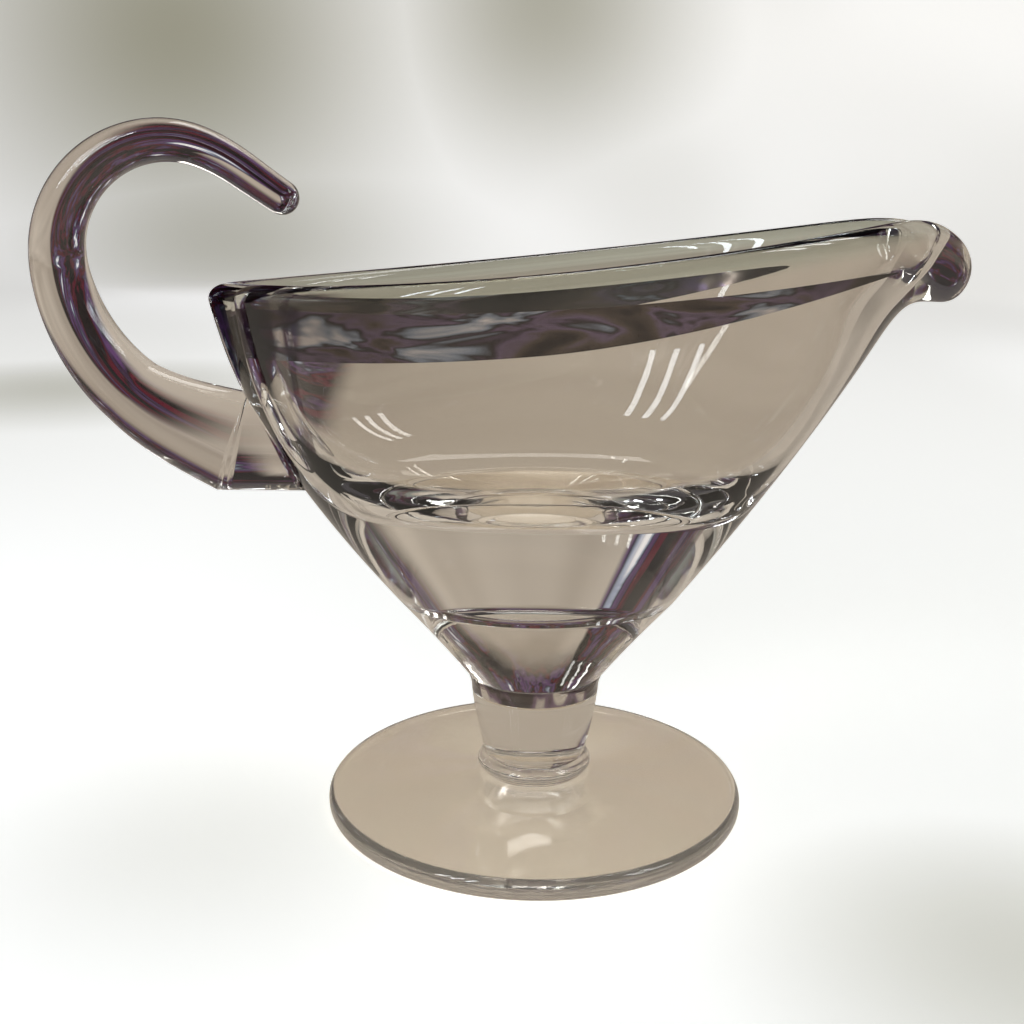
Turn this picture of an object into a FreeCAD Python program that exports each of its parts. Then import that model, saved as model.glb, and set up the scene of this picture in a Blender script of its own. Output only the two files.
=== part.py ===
import FreeCAD, Part
import math
import os

# Footed sauce boat in clear glass with a silver lustre band. Millimetres, +Z up, the pouring lip
# towards +X, the handle towards -X, and the origin at the middle of the foot's flat underside.

# Foot
foot_diameter = 90.0
foot_edge_height = 4.6
foot_dome_rise = 2.6
foot_edge_round = 2.0
foot_sag = 0.3

# Shank between foot and bowl, from the bottom up
collar_diameter = 24.7
collar_height = 4.2
stem_bottom_diameter = 21.6
stem_top_diameter = 27.4
stem_height = 15.0
wafer_diameter = 29.2
wafer_height = 3.6
stem_belly = 0.35
wafer_waist = 0.2

# Solid lower cone under the bowl
base_height = 17.5
base_length = 60.0
base_width = 48.0
base_hollow = 1.12
base_fullness = 1.3
base_levels = (0.0, 0.3, 0.65, 1.0)

# Bowl, outside. A fullness is how early the wall swells on its way up: 1 is a straight cone.
bowl_rear_reach = 67.0
bowl_front_reach = 80.0
bowl_width = 78.0
bowl_widest_x = 5.0
bowl_middle_height = 68.3
rear_taper = 1.65
front_taper = 1.6
inside_taper = 1.5
rear_fullness = 1.7
front_fullness = 1.3
side_fullness = 1.9
rim_slope = 0.10
rim_curve = 0.0005
outer_levels = (0.0, 0.12, 0.28, 0.47, 0.66, 0.8)

# Bowl, inside
side_wall = 4.2
rear_wall = 9.5
front_wall = 9.5
lower_wall = 6.0
corner_inset = 10.0
corner_rise = 6
floor_depth = 19.5
throat_drop = 10.0
inner_levels = (0.9, 0.72, 0.5, 0.28, 0.12, 0.0)

# Rim and pouring lip
rim_bead = 3.0
lip_bead = 10.2
lip_flare = 7.0
lip_focus = 14
lip_round = 0.45
spout_dip = 7.0
spout_focus = 24

# Lines round the rim, from the outer wall over the crest to the inner wall: how far in each one
# lies (1 is the inner wall), how far under the crest in bead heights, and its share of the lip's flare
rim_lines_outside = ((0, 1.35, 0.4), (-0.05, 0.75, 1.0), (0.05, 0.15, 0.8))
rim_lines_over = ((0.3, -0.2, 0.35), (0.65, -0.2, 0.1), (0.95, 0.15, 0.0))
rim_line_inside = (1.0, 0.8, 0.0)

# Silver lustre band on the inner wall
band_skin = 0.25
band_top_drop = 3.2
band_height = 10.4
band_point_x = 68.0
band_point_drop = 8.2
band_spans = 3

# Handle, a solid rod that hooks over towards the bowl
eye_beyond_rim = 7.3
eye_above_rim = 5.4
hook_radius = 22.9
hook_tip_angle = 54
hook_low_angle = 198
tip_run = 11.6
tip_slope = -34
leg_out = 9.0
leg_rise = 9.9
root_level = 0.5
root_pad_depth = 7.6
root_half_height = 12.0
root_sink = 3.5
rod_radius_at_tip = 3.4
rod_radius_at_top = 4.4
rod_radius_at_back = 5.7
rod_leg_half_height = 7.5
rod_root_half_height = 11.0
rod_root_half_width = 6.6
rod_marks = (0.0, 0.28, 0.55, 0.8, 1.0)
tip_rounding = ((1.0, 0.12), (0.95, 0.5), (0.6, 0.86))
hook_points = 6
root_levels = (0.0, 0.33, 0.67, 1.0)

# How finely the skins are described
poles_round_bowl = 40
poles_round_rod = 12
rod_stations = 24

# Heights that follow from the sizes above
foot_top = foot_edge_height + foot_dome_rise
collar_top = foot_top + collar_height
stem_top = collar_top + stem_height
wafer_top = stem_top + wafer_height
base_top = wafer_top + base_height
rim_middle = base_top + bowl_middle_height
floor_z = base_top + floor_depth
rise_of_inside = bowl_middle_height - throat_drop - floor_depth
rear_rim = rim_middle - rim_slope * bowl_rear_reach + rim_curve * bowl_rear_reach**2
root_z = base_top + root_level * (rear_rim - base_top)


def rim_height(x):
    """Height of the rim's crest above the origin, which rises and curves up towards the lip."""
    return rim_middle + rim_slope * x + rim_curve * x * x


def fuller(share, power):
    """Share of the way from base to rim, grown quickly first and slowly last."""
    return 1.0 - (1.0 - share) ** power


def between(low, high, share):
    """A value a share of the way from low to high."""
    return low + (high - low) * share


def leaf(angle, middle, rear, front, half, ends):
    """Plan point on a leaf-shaped ring, with ends = (rear, front) powers: 1 is an ellipse, 2 a point."""
    run = math.cos(angle)
    reach = front - middle if run > 0 else middle + rear
    power = ends[1] if run > 0 else ends[0]
    width = half * abs(math.sin(angle)) ** power
    return middle + reach * run, math.copysign(width, math.sin(angle))


def angles(count):
    """Even angles round a full turn, from the front."""
    return [2.0 * math.pi * i / count for i in range(count)]


def front_share(angle, focus):
    """1 at the very front, falling to 0 on both sides; a larger focus falls faster."""
    return max(0.0, math.cos(angle)) ** focus


def outer_reach(share):
    """Reach of the outer wall to the rear, to the front and to each side, at a share of the way up."""
    rear = between(base_length / 2, bowl_rear_reach, fuller(share, rear_fullness))
    front = between(base_length / 2, bowl_front_reach, fuller(share, front_fullness))
    half = between(base_width / 2, bowl_width / 2, fuller(share, side_fullness))
    return rear, front, half


def outer_ring(share):
    """Poles of the outer wall at a share of the way from the base's top to the rim."""
    middle = bowl_widest_x * share
    rear, front, half = outer_reach(share)
    ends = (between(1.0, rear_taper, share), between(1.0, front_taper, share))
    ring = []
    for a in angles(poles_round_bowl):
        x, y = leaf(a, middle, rear, front, half, ends)
        rise = rim_height(leaf(a, bowl_widest_x, bowl_rear_reach, bowl_front_reach, 1.0, ends)[0])
        ring.append(FreeCAD.Vector(x, y, between(base_top, rise, share)))
    return ring


def rim_ring(inset, drop, flare):
    """Poles of one line of the rim: inset 0 is the outer wall and 1 the inner, drop is in bead heights."""
    ring = []
    for a in angles(poles_round_bowl):
        lip = front_share(a, lip_focus)
        bead = between(rim_bead, lip_bead, lip * (1.0 - inset))
        rear = bowl_rear_reach - rear_wall * inset
        front = bowl_front_reach - side_wall * inset + lip_flare * lip * flare
        half = bowl_width / 2 - side_wall * inset
        ends = (rear_taper, front_taper - lip_round * lip)
        x, y = leaf(a, bowl_widest_x, rear, front, half, ends)
        z = rim_height(x) - spout_dip * front_share(a, spout_focus) - bead * drop
        ring.append(FreeCAD.Vector(x, y, z))
    return ring


def inner_ring(share):
    """Poles of the inner wall at a share of the way from the cavity's floor to just under the rim."""
    middle = bowl_widest_x * share
    rear, front, half = outer_reach((floor_depth + rise_of_inside * share) / bowl_middle_height)
    corner = corner_inset * (1.0 - share) ** corner_rise
    rear -= between(lower_wall, rear_wall, share) + corner
    front -= between(lower_wall, front_wall, share) + corner
    half -= between(lower_wall, side_wall, share) + corner
    ends = (between(1.0, inside_taper, share), between(1.0, inside_taper, share))
    ring = []
    for a in angles(poles_round_bowl):
        x, y = leaf(a, middle, rear, front, half, ends)
        ring.append(FreeCAD.Vector(x, y, between(floor_z, rim_height(x) - throat_drop, share)))
    return ring


def skin(rings):
    """Smooth face through the rings' poles: closed round each ring, open at the first and last."""
    poles = [list(line) for line in zip(*rings)]
    across = len(rings)
    round_knots = list(range(len(poles) + 1))
    across_knots = list(range(across - 2))
    across_mults = [4] + [1] * (across - 4) + [4]
    surface = Part.BSplineSurface()
    surface.buildFromPolesMultsKnots(
        poles, [1] * len(round_knots), across_mults, round_knots, across_knots, True, False, 3, 3
    )
    return surface


def ring_face(ring):
    """Flat face inside one ring that lies in a plane."""
    curve = Part.BSplineCurve()
    knots = list(range(len(ring) + 1))
    curve.buildFromPolesMultsKnots(ring, [1] * len(knots), knots, True, 3)
    return Part.Face(Part.Wire(curve.toShape()))


def closed(faces):
    """One outward-facing solid from faces that meet edge to edge."""
    shell = Part.makeShell(faces)
    shell.sewShape()
    solid = Part.makeSolid(shell)
    if solid.Volume < 0:
        solid.reverse()
    return solid


def skinned(rings):
    """Solid inside a skin whose first and last rings lie in planes."""
    return closed([skin(rings).toShape(), ring_face(rings[0]), ring_face(rings[-1])])


def revolved(edges):
    """Solid of revolution about Z from edges in the XZ plane that leave the axis and return to it."""
    face = Part.Face(Part.Wire(edges))
    return face.revolve(FreeCAD.Vector(0, 0, 0), FreeCAD.Vector(0, 0, 1), 360)


def at(x, z):
    """Point in the XZ plane."""
    return FreeCAD.Vector(x, 0, z)


def line(a, b):
    """Straight edge."""
    return Part.makeLine(a, b)


def arc(a, b, c):
    """Round edge from a through b to c."""
    return Part.Arc(a, b, c).toShape()


def foot():
    """Round disc with a flat underside, a rounded edge and a top that rises slightly to the collar."""
    edge = foot_diameter / 2
    turn = foot_edge_round
    slant = turn * (1 - math.sqrt(0.5))
    seat = collar_diameter / 2
    low = [at(edge - turn, 0), at(edge - slant, slant), at(edge, turn)]
    high = [at(edge, foot_edge_height - turn), at(edge - slant, foot_edge_height - slant)]
    high.append(at(edge - turn, foot_edge_height))
    hollow = at((edge + seat) / 2, foot_edge_height + foot_dome_rise * foot_sag)
    edges = [line(at(0, 0), low[0]), arc(*low), line(low[2], high[0]), arc(*high)]
    edges += [arc(high[2], hollow, at(seat, foot_top)), line(at(seat, foot_top), at(0, foot_top))]
    edges.append(line(at(0, foot_top), at(0, 0)))
    return revolved(edges)


def collar():
    """Round bead between foot and stem."""
    top = stem_bottom_diameter / 2
    bulge = at(collar_diameter / 2, foot_top + collar_height * 0.5)
    low = at(top, foot_top)
    high = at(top, collar_top)
    edges = [line(at(0, foot_top), low), arc(low, bulge, high)]
    edges += [line(high, at(0, collar_top)), line(at(0, collar_top), at(0, foot_top))]
    return revolved(edges)


def stem():
    """Solid tapered shank, a little fuller than a straight cone."""
    low = at(stem_bottom_diameter / 2, collar_top)
    high = at(stem_top_diameter / 2, stem_top)
    belly = (low + high) * 0.5 + at(stem_belly, 0)
    edges = [line(at(0, collar_top), low), arc(low, belly, high)]
    edges += [line(high, at(0, stem_top)), line(at(0, stem_top), at(0, collar_top))]
    return revolved(edges)


def wafer():
    """Short ring of glass that joins the stem to the solid cone above it."""
    low = at(stem_top_diameter / 2, stem_top)
    high = at(wafer_diameter / 2, wafer_top)
    hollow = (low + high) * 0.5 - at(wafer_waist, 0)
    edges = [line(at(0, stem_top), low), arc(low, hollow, high)]
    edges += [line(high, at(0, wafer_top)), line(at(0, wafer_top), at(0, stem_top))]
    return revolved(edges)


def oval_ring(half_length, half_width, z):
    """Poles of a level oval about the axis."""
    ring = [leaf(a, 0, half_length, half_length, half_width, (1.0, 1.0)) for a in angles(poles_round_bowl)]
    return [FreeCAD.Vector(x, y, z) for x, y in ring]


def bowl_base():
    """Solid cone that turns from the round wafer into the bowl's oval."""
    rings = []
    for share in base_levels:
        length = between(wafer_diameter, base_length, share**base_hollow)
        width = between(wafer_diameter, base_width, fuller(share, base_fullness))
        rings.append(oval_ring(length / 2, width / 2, between(wafer_top, base_top, share)))
    return skinned(rings)


def upper_rings():
    """Up the outside and over the rim to the inner wall's top."""
    rings = [outer_ring(share) for share in outer_levels]
    return rings + [rim_ring(*row) for row in rim_lines_outside + rim_lines_over]


def lower_rings():
    """Down the inner wall from just under the rim to the cavity's floor."""
    rings = [rim_ring(*rim_line_inside)] + [inner_ring(share) for share in inner_levels]
    corner = rings[-1]
    middle = FreeCAD.Vector((corner[0].x + corner[len(corner) // 2].x) / 2, 0, floor_z)
    rings.append([(pole + middle) * 0.5 for pole in corner])
    return rings


def bowl_rings():
    """All rings of the bowl's skin, from its seat on the base over the rim to the cavity's floor."""
    return upper_rings() + lower_rings()


def bowl():
    """Leaf-shaped bowl with a solid bottom, a bead round the rim and a pouring lip."""
    return skinned(bowl_rings())


def band_drop(x):
    """How far the band's upper edge lies under the rim, growing towards the lip."""
    share = (x + bowl_rear_reach) / (band_point_x + bowl_rear_reach)
    return between(band_top_drop, band_point_drop, share)


def band_slab():
    """The band's side view as a slab: level with the rim at the rear, running to a point at the lip."""
    marks = [-bowl_rear_reach, -bowl_rear_reach / 2, 0.0, band_point_x / 2, band_point_x]
    top = [at(x, rim_height(x) - band_drop(x)) for x in marks]
    low = [at(x, rim_height(x) - band_top_drop - band_height) for x in marks[:3]] + [top[-1]]
    upper, lower = Part.BSplineCurve(), Part.BSplineCurve()
    upper.interpolate(top)
    lower.interpolate(low)
    face = Part.Face(Part.Wire([upper.toShape(), lower.toShape(), line(low[0], top[0])]))
    face.translate(FreeCAD.Vector(0, -bowl_width, 0))
    return face.extrude(FreeCAD.Vector(0, 2 * bowl_width, 0))


def moved_inwards(row, distance):
    """One row of poles moved level towards the inside of the ring that it lies on."""
    moved = []
    for i, pole in enumerate(row):
        along = row[(i + 1) % len(row)] - row[i - 1]
        moved.append(pole + FreeCAD.Vector(-along.y, along.x, 0).normalize() * distance)
    return moved


def silver_band():
    """Skin of silver on the inner wall, on both sides and round the rear end."""
    wall = skin(bowl_rings())
    first = len(upper_rings()) - 1
    last = first + band_spans
    wall.segment(0, poles_round_bowl, first, last)
    inside = wall.copy()
    for v, row in enumerate(zip(*wall.getPoles())):
        for u, pole in enumerate(moved_inwards(row, band_skin)):
            inside.setPole(u + 1, v + 1, pole)
    faces = [wall.toShape(), inside.toShape()]
    for v in (first, last):
        faces.append(Part.makeRuledSurface(wall.vIso(v).toShape(), inside.vIso(v).toShape()))
    return closed(faces).common(band_slab())


def rear_wall_x(z):
    """X of the bowl's outer wall at its rear end, at one height."""
    share = (z - base_top) / (rear_rim - base_top)
    return -outer_reach(share)[0]


def handle_path():
    """Middle line of the rod, from the tip over the hook and down the leg to the root pad."""
    eye = at(-bowl_rear_reach - eye_beyond_rim, rear_rim + eye_above_rim)
    step = (hook_low_angle - hook_tip_angle) / (hook_points - 1)
    turns = [math.radians(hook_tip_angle + step * i) for i in range(hook_points)]
    hook = [eye + at(math.cos(t), math.sin(t)) * hook_radius for t in turns]
    run = at(math.cos(math.radians(tip_slope)), math.sin(math.radians(tip_slope)))
    leg = at(eye.x - leg_out, root_z + leg_rise)
    root = at(rear_wall_x(root_z) - root_pad_depth, root_z)
    return [hook[0] + run * tip_run, hook[0] + run * (tip_run / 2)] + hook + [leg, root]


def rod_ring(middle, up, half_height, half_width):
    """Poles of an oval section whose height runs along up; a curve passes just inside its poles."""
    grow = 1.0 / (1.0 - (2 * math.pi / poles_round_rod) ** 2 / 6)
    side = FreeCAD.Vector(0, 1, 0)
    ring = []
    for a in angles(poles_round_rod):
        rise = up * (half_height * grow * math.cos(a))
        ring.append(middle + rise + side * (half_width * grow * math.sin(a)))
    return ring


def rod_size(share):
    """Half height and half width of the rod at a share of the way from tip to root."""
    leg_half_width = (rod_radius_at_back + rod_root_half_width) / 2
    round_part = [rod_radius_at_tip, rod_radius_at_top, rod_radius_at_back]
    heights = round_part + [rod_leg_half_height, rod_root_half_height]
    widths = round_part + [leg_half_width, rod_root_half_width]
    stretch = max(i for i in range(len(rod_marks) - 1) if rod_marks[i] <= share)
    step = (share - rod_marks[stretch]) / (rod_marks[stretch + 1] - rod_marks[stretch])
    return between(*heights[stretch : stretch + 2], step), between(*widths[stretch : stretch + 2], step)


def rod_rings():
    """Rings along the rod, closed at the tip by a round end."""
    curve = Part.BSplineCurve()
    curve.interpolate(handle_path())
    first, last = curve.FirstParameter, curve.LastParameter
    rings = []
    for i in range(rod_stations + 1):
        middle = curve.value(between(first, last, i / rod_stations))
        along = curve.tangent(between(first, last, i / rod_stations))[0]
        up = FreeCAD.Vector(-along.z, 0, along.x)
        if i == 0:
            for back, wide in tip_rounding:
                end = middle - along * (rod_radius_at_tip * back)
                rings.append(rod_ring(end, up, rod_radius_at_tip * wide, rod_radius_at_tip * wide))
        rings.append(rod_ring(middle, up, *rod_size(i / rod_stations)))
    return rings


def handle():
    """Solid hook from its free tip down to the root pad."""
    return skinned(rod_rings()).cut(bowl())


def handle_root():
    """Pad of glass that spreads the rod's end over the bowl's sloping rear wall."""
    start = rod_rings()[-1]
    high, low = start[0], start[poles_round_rod // 2]
    middle = (high + low) * 0.5
    up = (high - low).normalize()
    seat = at(rear_wall_x(root_z) + root_sink, root_z)
    slope = at(rear_wall_x(root_z + 1) - rear_wall_x(root_z), 1).normalize()
    rings = []
    for share in root_levels:
        lean = (up * (1 - share) + slope * share).normalize()
        half = between(rod_root_half_height, root_half_height, share)
        rings.append(rod_ring(middle + (seat - middle) * share, lean, half, rod_root_half_width))
    return skinned(rings).cut(bowl())


PIECES = {
    "foot": foot,
    "stem_collar": collar,
    "stem": stem,
    "neck_wafer": wafer,
    "bowl_base": bowl_base,
    "bowl": bowl,
    "silver_band": silver_band,
    "handle": handle,
    "handle_root": handle_root,
}

os.makedirs("parts", exist_ok=True)
for name, make in PIECES.items():
    make().exportStep("parts/" + name + ".step")
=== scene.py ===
"""Footed sauce boat in clear glass with a silver lustre band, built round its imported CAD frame."""

import math

import bmesh
import bpy
import numpy as np
from bpy.props import FloatProperty, FloatVectorProperty, PointerProperty
from mathutils import Matrix, Vector
from mathutils.bvhtree import BVHTree


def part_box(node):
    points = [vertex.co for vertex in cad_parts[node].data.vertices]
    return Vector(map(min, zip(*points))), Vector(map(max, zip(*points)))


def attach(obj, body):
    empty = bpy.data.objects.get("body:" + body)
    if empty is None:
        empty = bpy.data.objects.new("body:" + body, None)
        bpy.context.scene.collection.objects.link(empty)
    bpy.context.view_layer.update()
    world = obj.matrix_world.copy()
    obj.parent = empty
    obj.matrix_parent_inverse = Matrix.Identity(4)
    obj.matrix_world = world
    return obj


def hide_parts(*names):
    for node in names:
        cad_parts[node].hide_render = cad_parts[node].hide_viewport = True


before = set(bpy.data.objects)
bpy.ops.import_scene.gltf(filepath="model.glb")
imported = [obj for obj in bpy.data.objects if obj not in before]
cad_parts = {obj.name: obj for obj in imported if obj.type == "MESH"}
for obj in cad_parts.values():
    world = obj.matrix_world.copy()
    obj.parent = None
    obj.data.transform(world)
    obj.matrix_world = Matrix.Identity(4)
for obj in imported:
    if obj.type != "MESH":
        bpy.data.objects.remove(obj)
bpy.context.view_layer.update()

bl_info = {
    "name": "Glass sauce boat",
    "version": (1, 0, 0),
    "blender": (4, 5, 0),
    "location": "3D Viewport > Sidebar > Sauce Boat",
    "description": "Builds a footed glass sauce boat with a silver lustre band on a pale studio floor",
    "category": "Add Mesh",
}

BODY = "root"
GLASS_SLOT = "clear_glass"
SILVER_SLOT = "silver"
FOOT_LOW, FOOT_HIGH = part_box("foot")
COLLAR_LOW, COLLAR_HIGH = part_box("stem_collar")
STEM_LOW, STEM_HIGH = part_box("stem")
WAFER_LOW, WAFER_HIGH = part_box("neck_wafer")
BASE_LOW, BASE_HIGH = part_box("bowl_base")

# Poles round each ring of the bowl and of the cone
POLES_ROUND = 40

# Radii where the collar, the stem, the wafer and the cone meet
STEM_LOW_RADIUS = 0.0108
STEM_HIGH_RADIUS = 0.0137
WAFER_HIGH_RADIUS = 0.0146
STEM_BELLY = 0.00035
WAFER_WAIST = -0.0002

# Foot: how far out its hollow underside runs, where that passes half way, and how far its top sags,
# as shares; then the steps of its underside, its edge and its top, and its sides
FOOT_HOLLOW_REACH = 0.93
FOOT_HOLLOW_HALF_WAY = (0.5, 0.75)
FOOT_SAG = 0.3
UNDER_STEPS, EDGE_STEPS, TOP_STEPS = 30, 12, 36
FOOT_SIDES = 192
INNERMOST_RADIUS = 0.0002

# Solid cone: places of its rings and how it widens in length and in width
CONE_LEVELS = (0.0, 0.3, 0.65, 1.0)
CONE_HOLLOW = 1.12
CONE_FULLNESS = 1.3
CONE_SIDES, CONE_ROWS, CONE_GATHER = 320, 40, 0.5

# Bowl: sides, how far they gather at its ends, and rows for each span of the skin
BOWL_SIDES, BOWL_GATHER, ROWS_PER_SPAN = 336, 0.55, 11

# Silver band: slices, rows, places tried for its edges, spans of the skin that it lies on, where its
# lower edge starts to close and how late it does so, and the step that its slope is measured with
BAND_SLICES, BAND_ROWS, BAND_TRIES = 360, 14, 181
BAND_SPANS = 3.0
BAND_CLOSES_FROM = 0.5
BAND_CLOSING = 1.6
BAND_STEP = 1e-3

# Handle's middle line, in metres and degrees, and the marks along the rod where its sizes are given
EYE_BEYOND_RIM = 0.0073
EYE_ABOVE_RIM = 0.0054
HOOK_FROM, HOOK_TO, HOOK_POINTS = 54, 198, 6
TIP_SLOPE = math.radians(-34)
TIP_RUN = 0.0116
LEG_OUT = 0.0090
LEG_RISE = 0.0099
ROOT_LEVEL = 0.5
ROD_MARKS = (0.0, 0.28, 0.55, 0.8, 1.0)
ROD_POINTS, TIP_POINTS = 240, 14

# Root pad: its depth between rod and wall, how far its seat lies in the wall, half its height, its
# sides and rows, and how far the wall is looked for
ROOT_PAD_DEPTH = 0.0076
ROOT_SINK = 0.0035
ROOT_HALF_HEIGHT = 0.012
ROOT_SIDES, ROOT_CAP_ROWS, ROOT_STEPS = 64, 8, 12
WALL_SEARCH = 0.05

# Points no further forward than this of the pad's middle, in metres, may lie under the pad. How far
# outside the pad's outline, in its radii, points are tried for a crossing, how far the others are
# said to be, and how far a face under the pad may reach out
REAR_ZONE = 0.02
OUTLINE_SEARCH = 0.6
FAR_OUT = 9.0
ON_OUTLINE = 1e-3

# The rod's least radius at its tip, and the share of its run past which a face closes its root
LEAST_RADIUS = 0.00002
ROOT_END = 0.99999


# ---------------------------------------------------------------- settings


def length(name, default, description):
    """A length setting in metres."""
    return FloatProperty(name=name, description=description, default=default, unit="LENGTH", precision=4)


def share(name, default, description):
    """A plain number setting."""
    return FloatProperty(name=name, description=description, default=default)


def angle(name, degrees, description):
    """An angle setting, given in degrees."""
    return FloatProperty(name=name, description=description, default=math.radians(degrees), unit="ROTATION")


def colour(name, default, description):
    """A colour setting."""
    return FloatVectorProperty(
        name=name, description=description, default=default, size=3, min=0.0, max=1.0, subtype="COLOR"
    )


class SauceBoatSizes(bpy.types.PropertyGroup):
    """Sizes of the sauce boat, in metres."""

    foot_diameter: length("Foot diameter", FOOT_HIGH.x - FOOT_LOW.x, "Width of the round foot")
    foot_edge_height: length("Foot edge", 0.0046, "Thickness of the foot at its edge")
    foot_edge_round: length("Foot edge round", 0.002, "Radius of the foot's rounded edge")
    foot_kick: length("Foot kick", 0.0007, "How far the foot's underside is hollowed")
    bowl_rear_reach: length("Bowl rear", 0.067, "From the stem's axis back to the rear end of the rim")
    bowl_front_reach: length("Bowl front", 0.080, "From the stem's axis forward to the rim below the lip")
    bowl_width: length("Bowl width", 0.078, "Widest part of the rim")
    bowl_widest_x: length("Widest place", 0.005, "How far forward the rim is widest")
    rim_middle: length("Rim height", 0.1158, "Height of the rim over the stem")
    rim_slope: share("Rim slope", 0.10, "Rise of the rim towards the lip")
    rim_curve: share("Rim curve", 0.5, "Upward curve of the rim, per metre")
    side_wall: length("Side wall", 0.0042, "Thickness of the side walls at the rim")
    rear_wall: length("Rear wall", 0.0095, "Thickness of the rear end at the rim")
    front_wall: length("Front wall", 0.0095, "Thickness of the throat below the lip")
    lower_wall: length("Lower wall", 0.006, "Thickness of the walls just above the cavity's floor")
    corner_inset: length("Cavity corner", 0.010, "How far the cavity's corner draws in to its floor")
    floor_depth: length("Solid bottom", 0.0195, "Glass below the cavity's floor inside the bowl")
    throat_drop: length("Throat drop", 0.010, "How far below the crest the inner wall begins")
    rim_bead: length("Rim bead", 0.003, "Height of the bead round the rim")
    lip_bead: length("Lip bead", 0.0102, "Height of the bead at the pouring lip")
    lip_flare: length("Lip flare", 0.007, "How far the lip stands out")
    spout_dip: length("Spout dip", 0.007, "Depth of the trough in the lip")
    band_skin: length("Silver thickness", 0.00012, "Thickness of the lustre band")
    band_bite: length("Silver bite", 0.00004, "How far the lustre lies in the glass")
    band_top_drop: length("Silver below rim", 0.0032, "From the crest down to the band at the rear")
    band_far_lift: length("Silver far side lift", 0.0012, "How much higher the far side's band begins")
    band_height: length("Silver height", 0.0104, "Height of the band at the rear")
    band_point_x: length("Silver point", 0.068, "Where the band runs out, towards the lip")
    band_point_drop: length("Silver point drop", 0.0082, "How far below the crest the band's point lies")
    rod_radius_at_tip: length("Handle tip radius", 0.0034, "Radius of the handle's rounded tip")
    rod_radius_at_top: length("Handle top radius", 0.0044, "Radius on top of the hook")
    rod_radius_at_back: length("Handle back radius", 0.0057, "Radius at the back of the hook")
    rod_leg_half_height: length("Handle leg half height", 0.0075, "Half the leg's height")
    rod_root_half_height: length("Handle root half height", 0.011, "Half the root's height")
    rod_root_half_width: length("Handle root half width", 0.0066, "Half the root's width")
    hook_radius: length("Hook radius", 0.0229, "Radius of the hook's middle line")


class SauceBoatFinishes(bpy.types.PropertyGroup):
    """Colours and finishes of the sauce boat."""

    bowl_glass: colour("Bowl glass", (0.88, 0.85, 0.80), "Tint of the bowl's walls")
    solid_glass: colour("Solid glass", (0.84, 0.80, 0.74), "Tint of the solid cone and stem")
    foot_glass: colour("Foot glass", (0.82, 0.78, 0.71), "Tint of the foot")
    handle_glass: colour("Handle glass", (0.90, 0.86, 0.81), "Tint of the handle")
    rim_glass: colour("Rim glass", (0.70, 0.76, 0.70), "Cooler tint of the bead round the rim")
    # Painted shade: this near black tint paints the dark ring that the clear glass shows at the joint
    joint_painted_shade: colour("Joint glass", (0.012, 0.009, 0.009), "Dark ring where the stem joins the bowl")
    silver_light: colour("Silver", (0.62, 0.60, 0.62), "Clean lustre")
    # Painted reflections: the brown, dark, blue and violet colours below paint the dim room's reflections
    # into the silver's own colour
    silver_brown_reflection: colour("Brown reflection", (0.10, 0.078, 0.065), "Brown reflection on the lustre")
    silver_dark_reflection: colour("Tarnish", (0.035, 0.026, 0.022), "Dark reflection on the lustre")
    silver_blue_reflection: colour("Blue reflection", (0.24, 0.28, 0.36), "Blue painted reflection on the lustre")
    silver_violet_reflection: colour("Violet reflection", (0.16, 0.12, 0.19), "Violet painted reflection on the lustre")
    glass_bend: share("Refractive index", 1.52, "Refractive index of the glass")
    wave_depth: length("Surface waves", 0.00004, "Depth of the slow waves that tooling leaves in the glass")


class SauceBoatStudio(bpy.types.PropertyGroup):
    """Camera, floor and lights."""

    camera_place: FloatVectorProperty(
        name="Camera place", description="Where the camera stands", default=(0.0006, -0.2575, 0.1302), size=3,
        unit="LENGTH",
    )
    camera_yaw: angle("Camera yaw", 1.29, "Turn to the left")
    camera_pitch: angle("Camera pitch", 14.23, "Tilt down")
    camera_roll: angle("Camera roll", 0.34, "Roll")
    lens: FloatProperty(name="Lens", description="Focal length", default=44.44, unit="CAMERA")
    floor_pale: colour("Floor", (0.93, 0.945, 0.93), "Pale floor")
    floor_shade: colour("Floor shade", (0.33, 0.325, 0.255), "Soft shade on the floor")


# ---------------------------------------------------------------- the boat's curves


def fuller(part, power):
    """Share of the way from base to rim, grown quickly first and slowly last."""
    return 1.0 - (1.0 - part) ** power


def between(low, high, part):
    """A value part of the way from low to high."""
    return low + (high - low) * part


def angles(count):
    """Even angles round a full turn."""
    return np.arange(count) * (2.0 * math.pi / count)


def leaf(turn, middle, rear, front, half, ends):
    """Plan points of a leaf-shaped ring; ends = (rear, front) powers, 1 an ellipse and 2 a point."""
    run = np.cos(turn)
    ahead = run > 0
    reach = np.where(ahead, front - middle, middle + rear)
    power = np.where(ahead, ends[1], ends[0])
    return middle + reach * run, half * np.abs(np.sin(turn)) ** power * np.sign(np.sin(turn))


def rim_height(s, x):
    """Height of the rim's crest."""
    return s.rim_middle + s.rim_slope * x + s.rim_curve * x * x


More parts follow.
